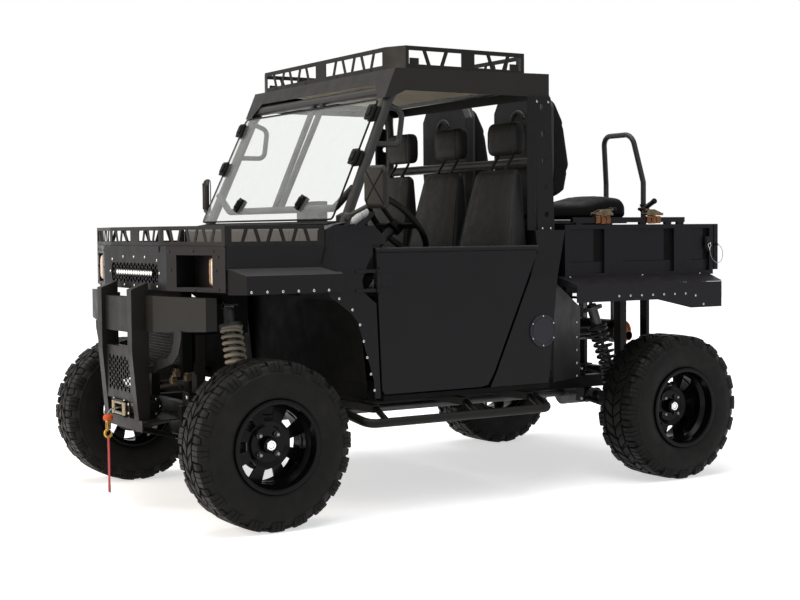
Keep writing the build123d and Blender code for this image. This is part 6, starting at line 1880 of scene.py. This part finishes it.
# Each rack's wall: its corners in turn, anticlockwise from above, its top, the heights between
# which the windows lie, a bar's width and lean, and for each stretch of wall its rows of windows:
# (start, end, bays, whether the first bay is wide at its foot), in metres from the stretch's start.
HOOD_RACK = {
    "line": [(-BODY_X, COWL_Y - 0.004), (-BODY_X, NOSE_CORNER_Y), (-0.285, -1.350), (0.285, -1.350),
             (BODY_X, NOSE_CORNER_Y), (BODY_X, COWL_Y - 0.004)],
    "closed": False, "top": RACK_Z, "windows": (1.154, 1.203), "bar": 0.016, "lean": 0.008,
    "rows": {0: [(0.025, 0.418, 7, True)], 1: [(0.022, 0.417, 7, False)],
             2: [(0.018, 0.237, 4, False), (0.333, 0.552, 4, True)],
             3: [(0.022, 0.417, 7, False)], 4: [(0.030, 0.423, 7, True)]},
}
ROOF_RACK = {
    "line": [(0.571, -0.423), (0.668, -0.377), (0.668, 0.251), (0.571, 0.297),
             (-0.571, 0.297), (-0.668, 0.251), (-0.668, -0.377), (-0.571, -0.423)],
    "closed": True, "top": 1.980, "windows": (1.903, 1.961), "bar": 0.019, "lean": 0.011,
    "rows": {1: [(0.016, 0.287, 3, False), (0.357, 0.612, 3, False)],
             3: [(0.022, 0.523, 6, False), (0.619, 1.120, 6, True)],
             5: [(0.016, 0.271, 3, False), (0.341, 0.612, 3, False)],
             7: [(0.022, 0.523, 6, False), (0.619, 1.120, 6, True)]},
}


def rack_foot(plan, y):
    """The height at which a rack's wall stands: the flat hood, or the roof, which rises rearwards."""
    return ROOF_Z + 0.013 * (y + 0.430) / 0.820 if plan["closed"] else HOOD_Z


def wall_posts(plan):
    """The upright lines of a rack's wall in turn: (outer foot, inner foot, outer head, inner head,
    whether a window follows)."""
    line = [Vector((x, y, 0)) for x, y in plan["line"]]
    count = len(line) if plan["closed"] else len(line) - 1
    ways = [(line[(i + 1) % len(line)] - line[i]).normalized() for i in range(count)]
    inward = [Vector((-way.y, way.x, 0)) for way in ways]
    posts = []

    def corner(i):
        near = inward[i % count] if plan["closed"] or i < count else inward[i - 1]
        far = inward[i - 1] if plan["closed"] or i > 0 else inward[0]
        mitre = (near + far).normalized()
        outer = line[i % len(line)]
        inner = outer + mitre * (RACK_SHEET / mitre.dot(near))
        posts.append((outer, inner, outer, inner, False))

    def post(i, low, high, opens):
        foot, head = line[i] + ways[i] * low, line[i] + ways[i] * high
        step = inward[i] * RACK_SHEET
        posts.append((foot, foot + step, head, head + step, opens))

    for i in range(count):
        corner(i)
        for start, end, bays, wide in plan["rows"].get(i, []):
            pitch = (end - start) / bays
            for k in range(bays):
                lean = plan["lean"] * (1 if (k % 2 == 0) == wide else -1)
                for at, way, opens, inner in ((k, 1, True, k > 0), (k + 1, -1, False, k < bays - 1)):
                    edge = start + at * pitch
                    if inner:  # the row's own ends are upright
                        edge += way * plan["bar"] / 2
                    post(i, edge + way * lean * inner, edge - way * lean * inner, opens)
    if not plan["closed"]:
        corner(count)
    return posts


def truss_wall(plan):
    """A folded sheet wall with alternate trapezium windows, as one closed solid."""
    z0, z1 = plan["windows"]
    posts = wall_posts(plan)
    verts, faces = [], []
    for outer_foot, inner_foot, outer_head, inner_head, _ in posts:
        for foot, head in ((outer_foot, outer_head), (inner_foot, inner_head)):
            verts += [(foot.x, foot.y, rack_foot(plan, foot.y)), (foot.x, foot.y, z0),
                      (head.x, head.y, z1), (head.x, head.y, plan["top"])]
    total = len(posts)
    for i in range(total if plan["closed"] else total - 1):
        a, b = 8 * i, 8 * ((i + 1) % total)
        opens = posts[i][4]
        for row in (0, 2) if opens else (0, 1, 2):
            faces.append((a + row, b + row, b + row + 1, a + row + 1))
            faces.append((a + row + 4, a + row + 5, b + row + 5, b + row + 4))
        faces += [(a, a + 4, b + 4, b), (a + 3, b + 3, b + 7, a + 7)]
        if opens:
            faces += [(a + 1, b + 1, b + 5, a + 5), (a + 2, a + 6, b + 6, b + 2),
                      (a + 1, a + 5, a + 6, a + 2), (b + 1, b + 2, b + 6, b + 5)]
    if not plan["closed"]:
        last = 8 * (total - 1)
        for row in range(3):
            faces.append((row, row + 1, row + 5, row + 4))
            faces.append((last + row, last + row + 4, last + row + 5, last + row + 1))
    return Shape().add(verts, faces)


def add_truss_racks():
    """The two racks' walls, whose slim leaning bars replace the broader ones of the plain model."""
    for name, plan in (("hood_rack", HOOD_RACK), ("roof_rack", ROOF_RACK)):
        truss_wall(plan).piece(name + "_wall", "steel", replaces=[name], bevel=(0.0006, 1))


def build_all():
    add_camera()
    hook = add_hook()
    add_rope()
    add_strap()
    add_lanyard()
    paint_nodes()
    add_stage()
    for body, side, axle_y, width, dish in WHEELS:
        add_tyre(body, side, axle_y, width)
        add_wheel_trim(body, side, axle_y, dish)
    add_springs()
    add_front_seats()
    add_rear_seats()
    add_panel_screws()
    add_headlamps()
    add_light_bar()
    add_mirrors()
    add_nose_interior()
    add_winch_detail()
    add_pane_trim()
    add_headliner()
    add_dash_detail()
    add_cab_sensor()
    add_ratchets()
    add_bed_sides()
    add_bed_detail()
    add_rear_shell_detail()
    add_running_gear()
    add_muffler_detail()
    add_door_detail()
    add_rack_detail()
    add_truss_racks()


bpy.context.scene.view_settings.view_transform = "Standard"
build_all()
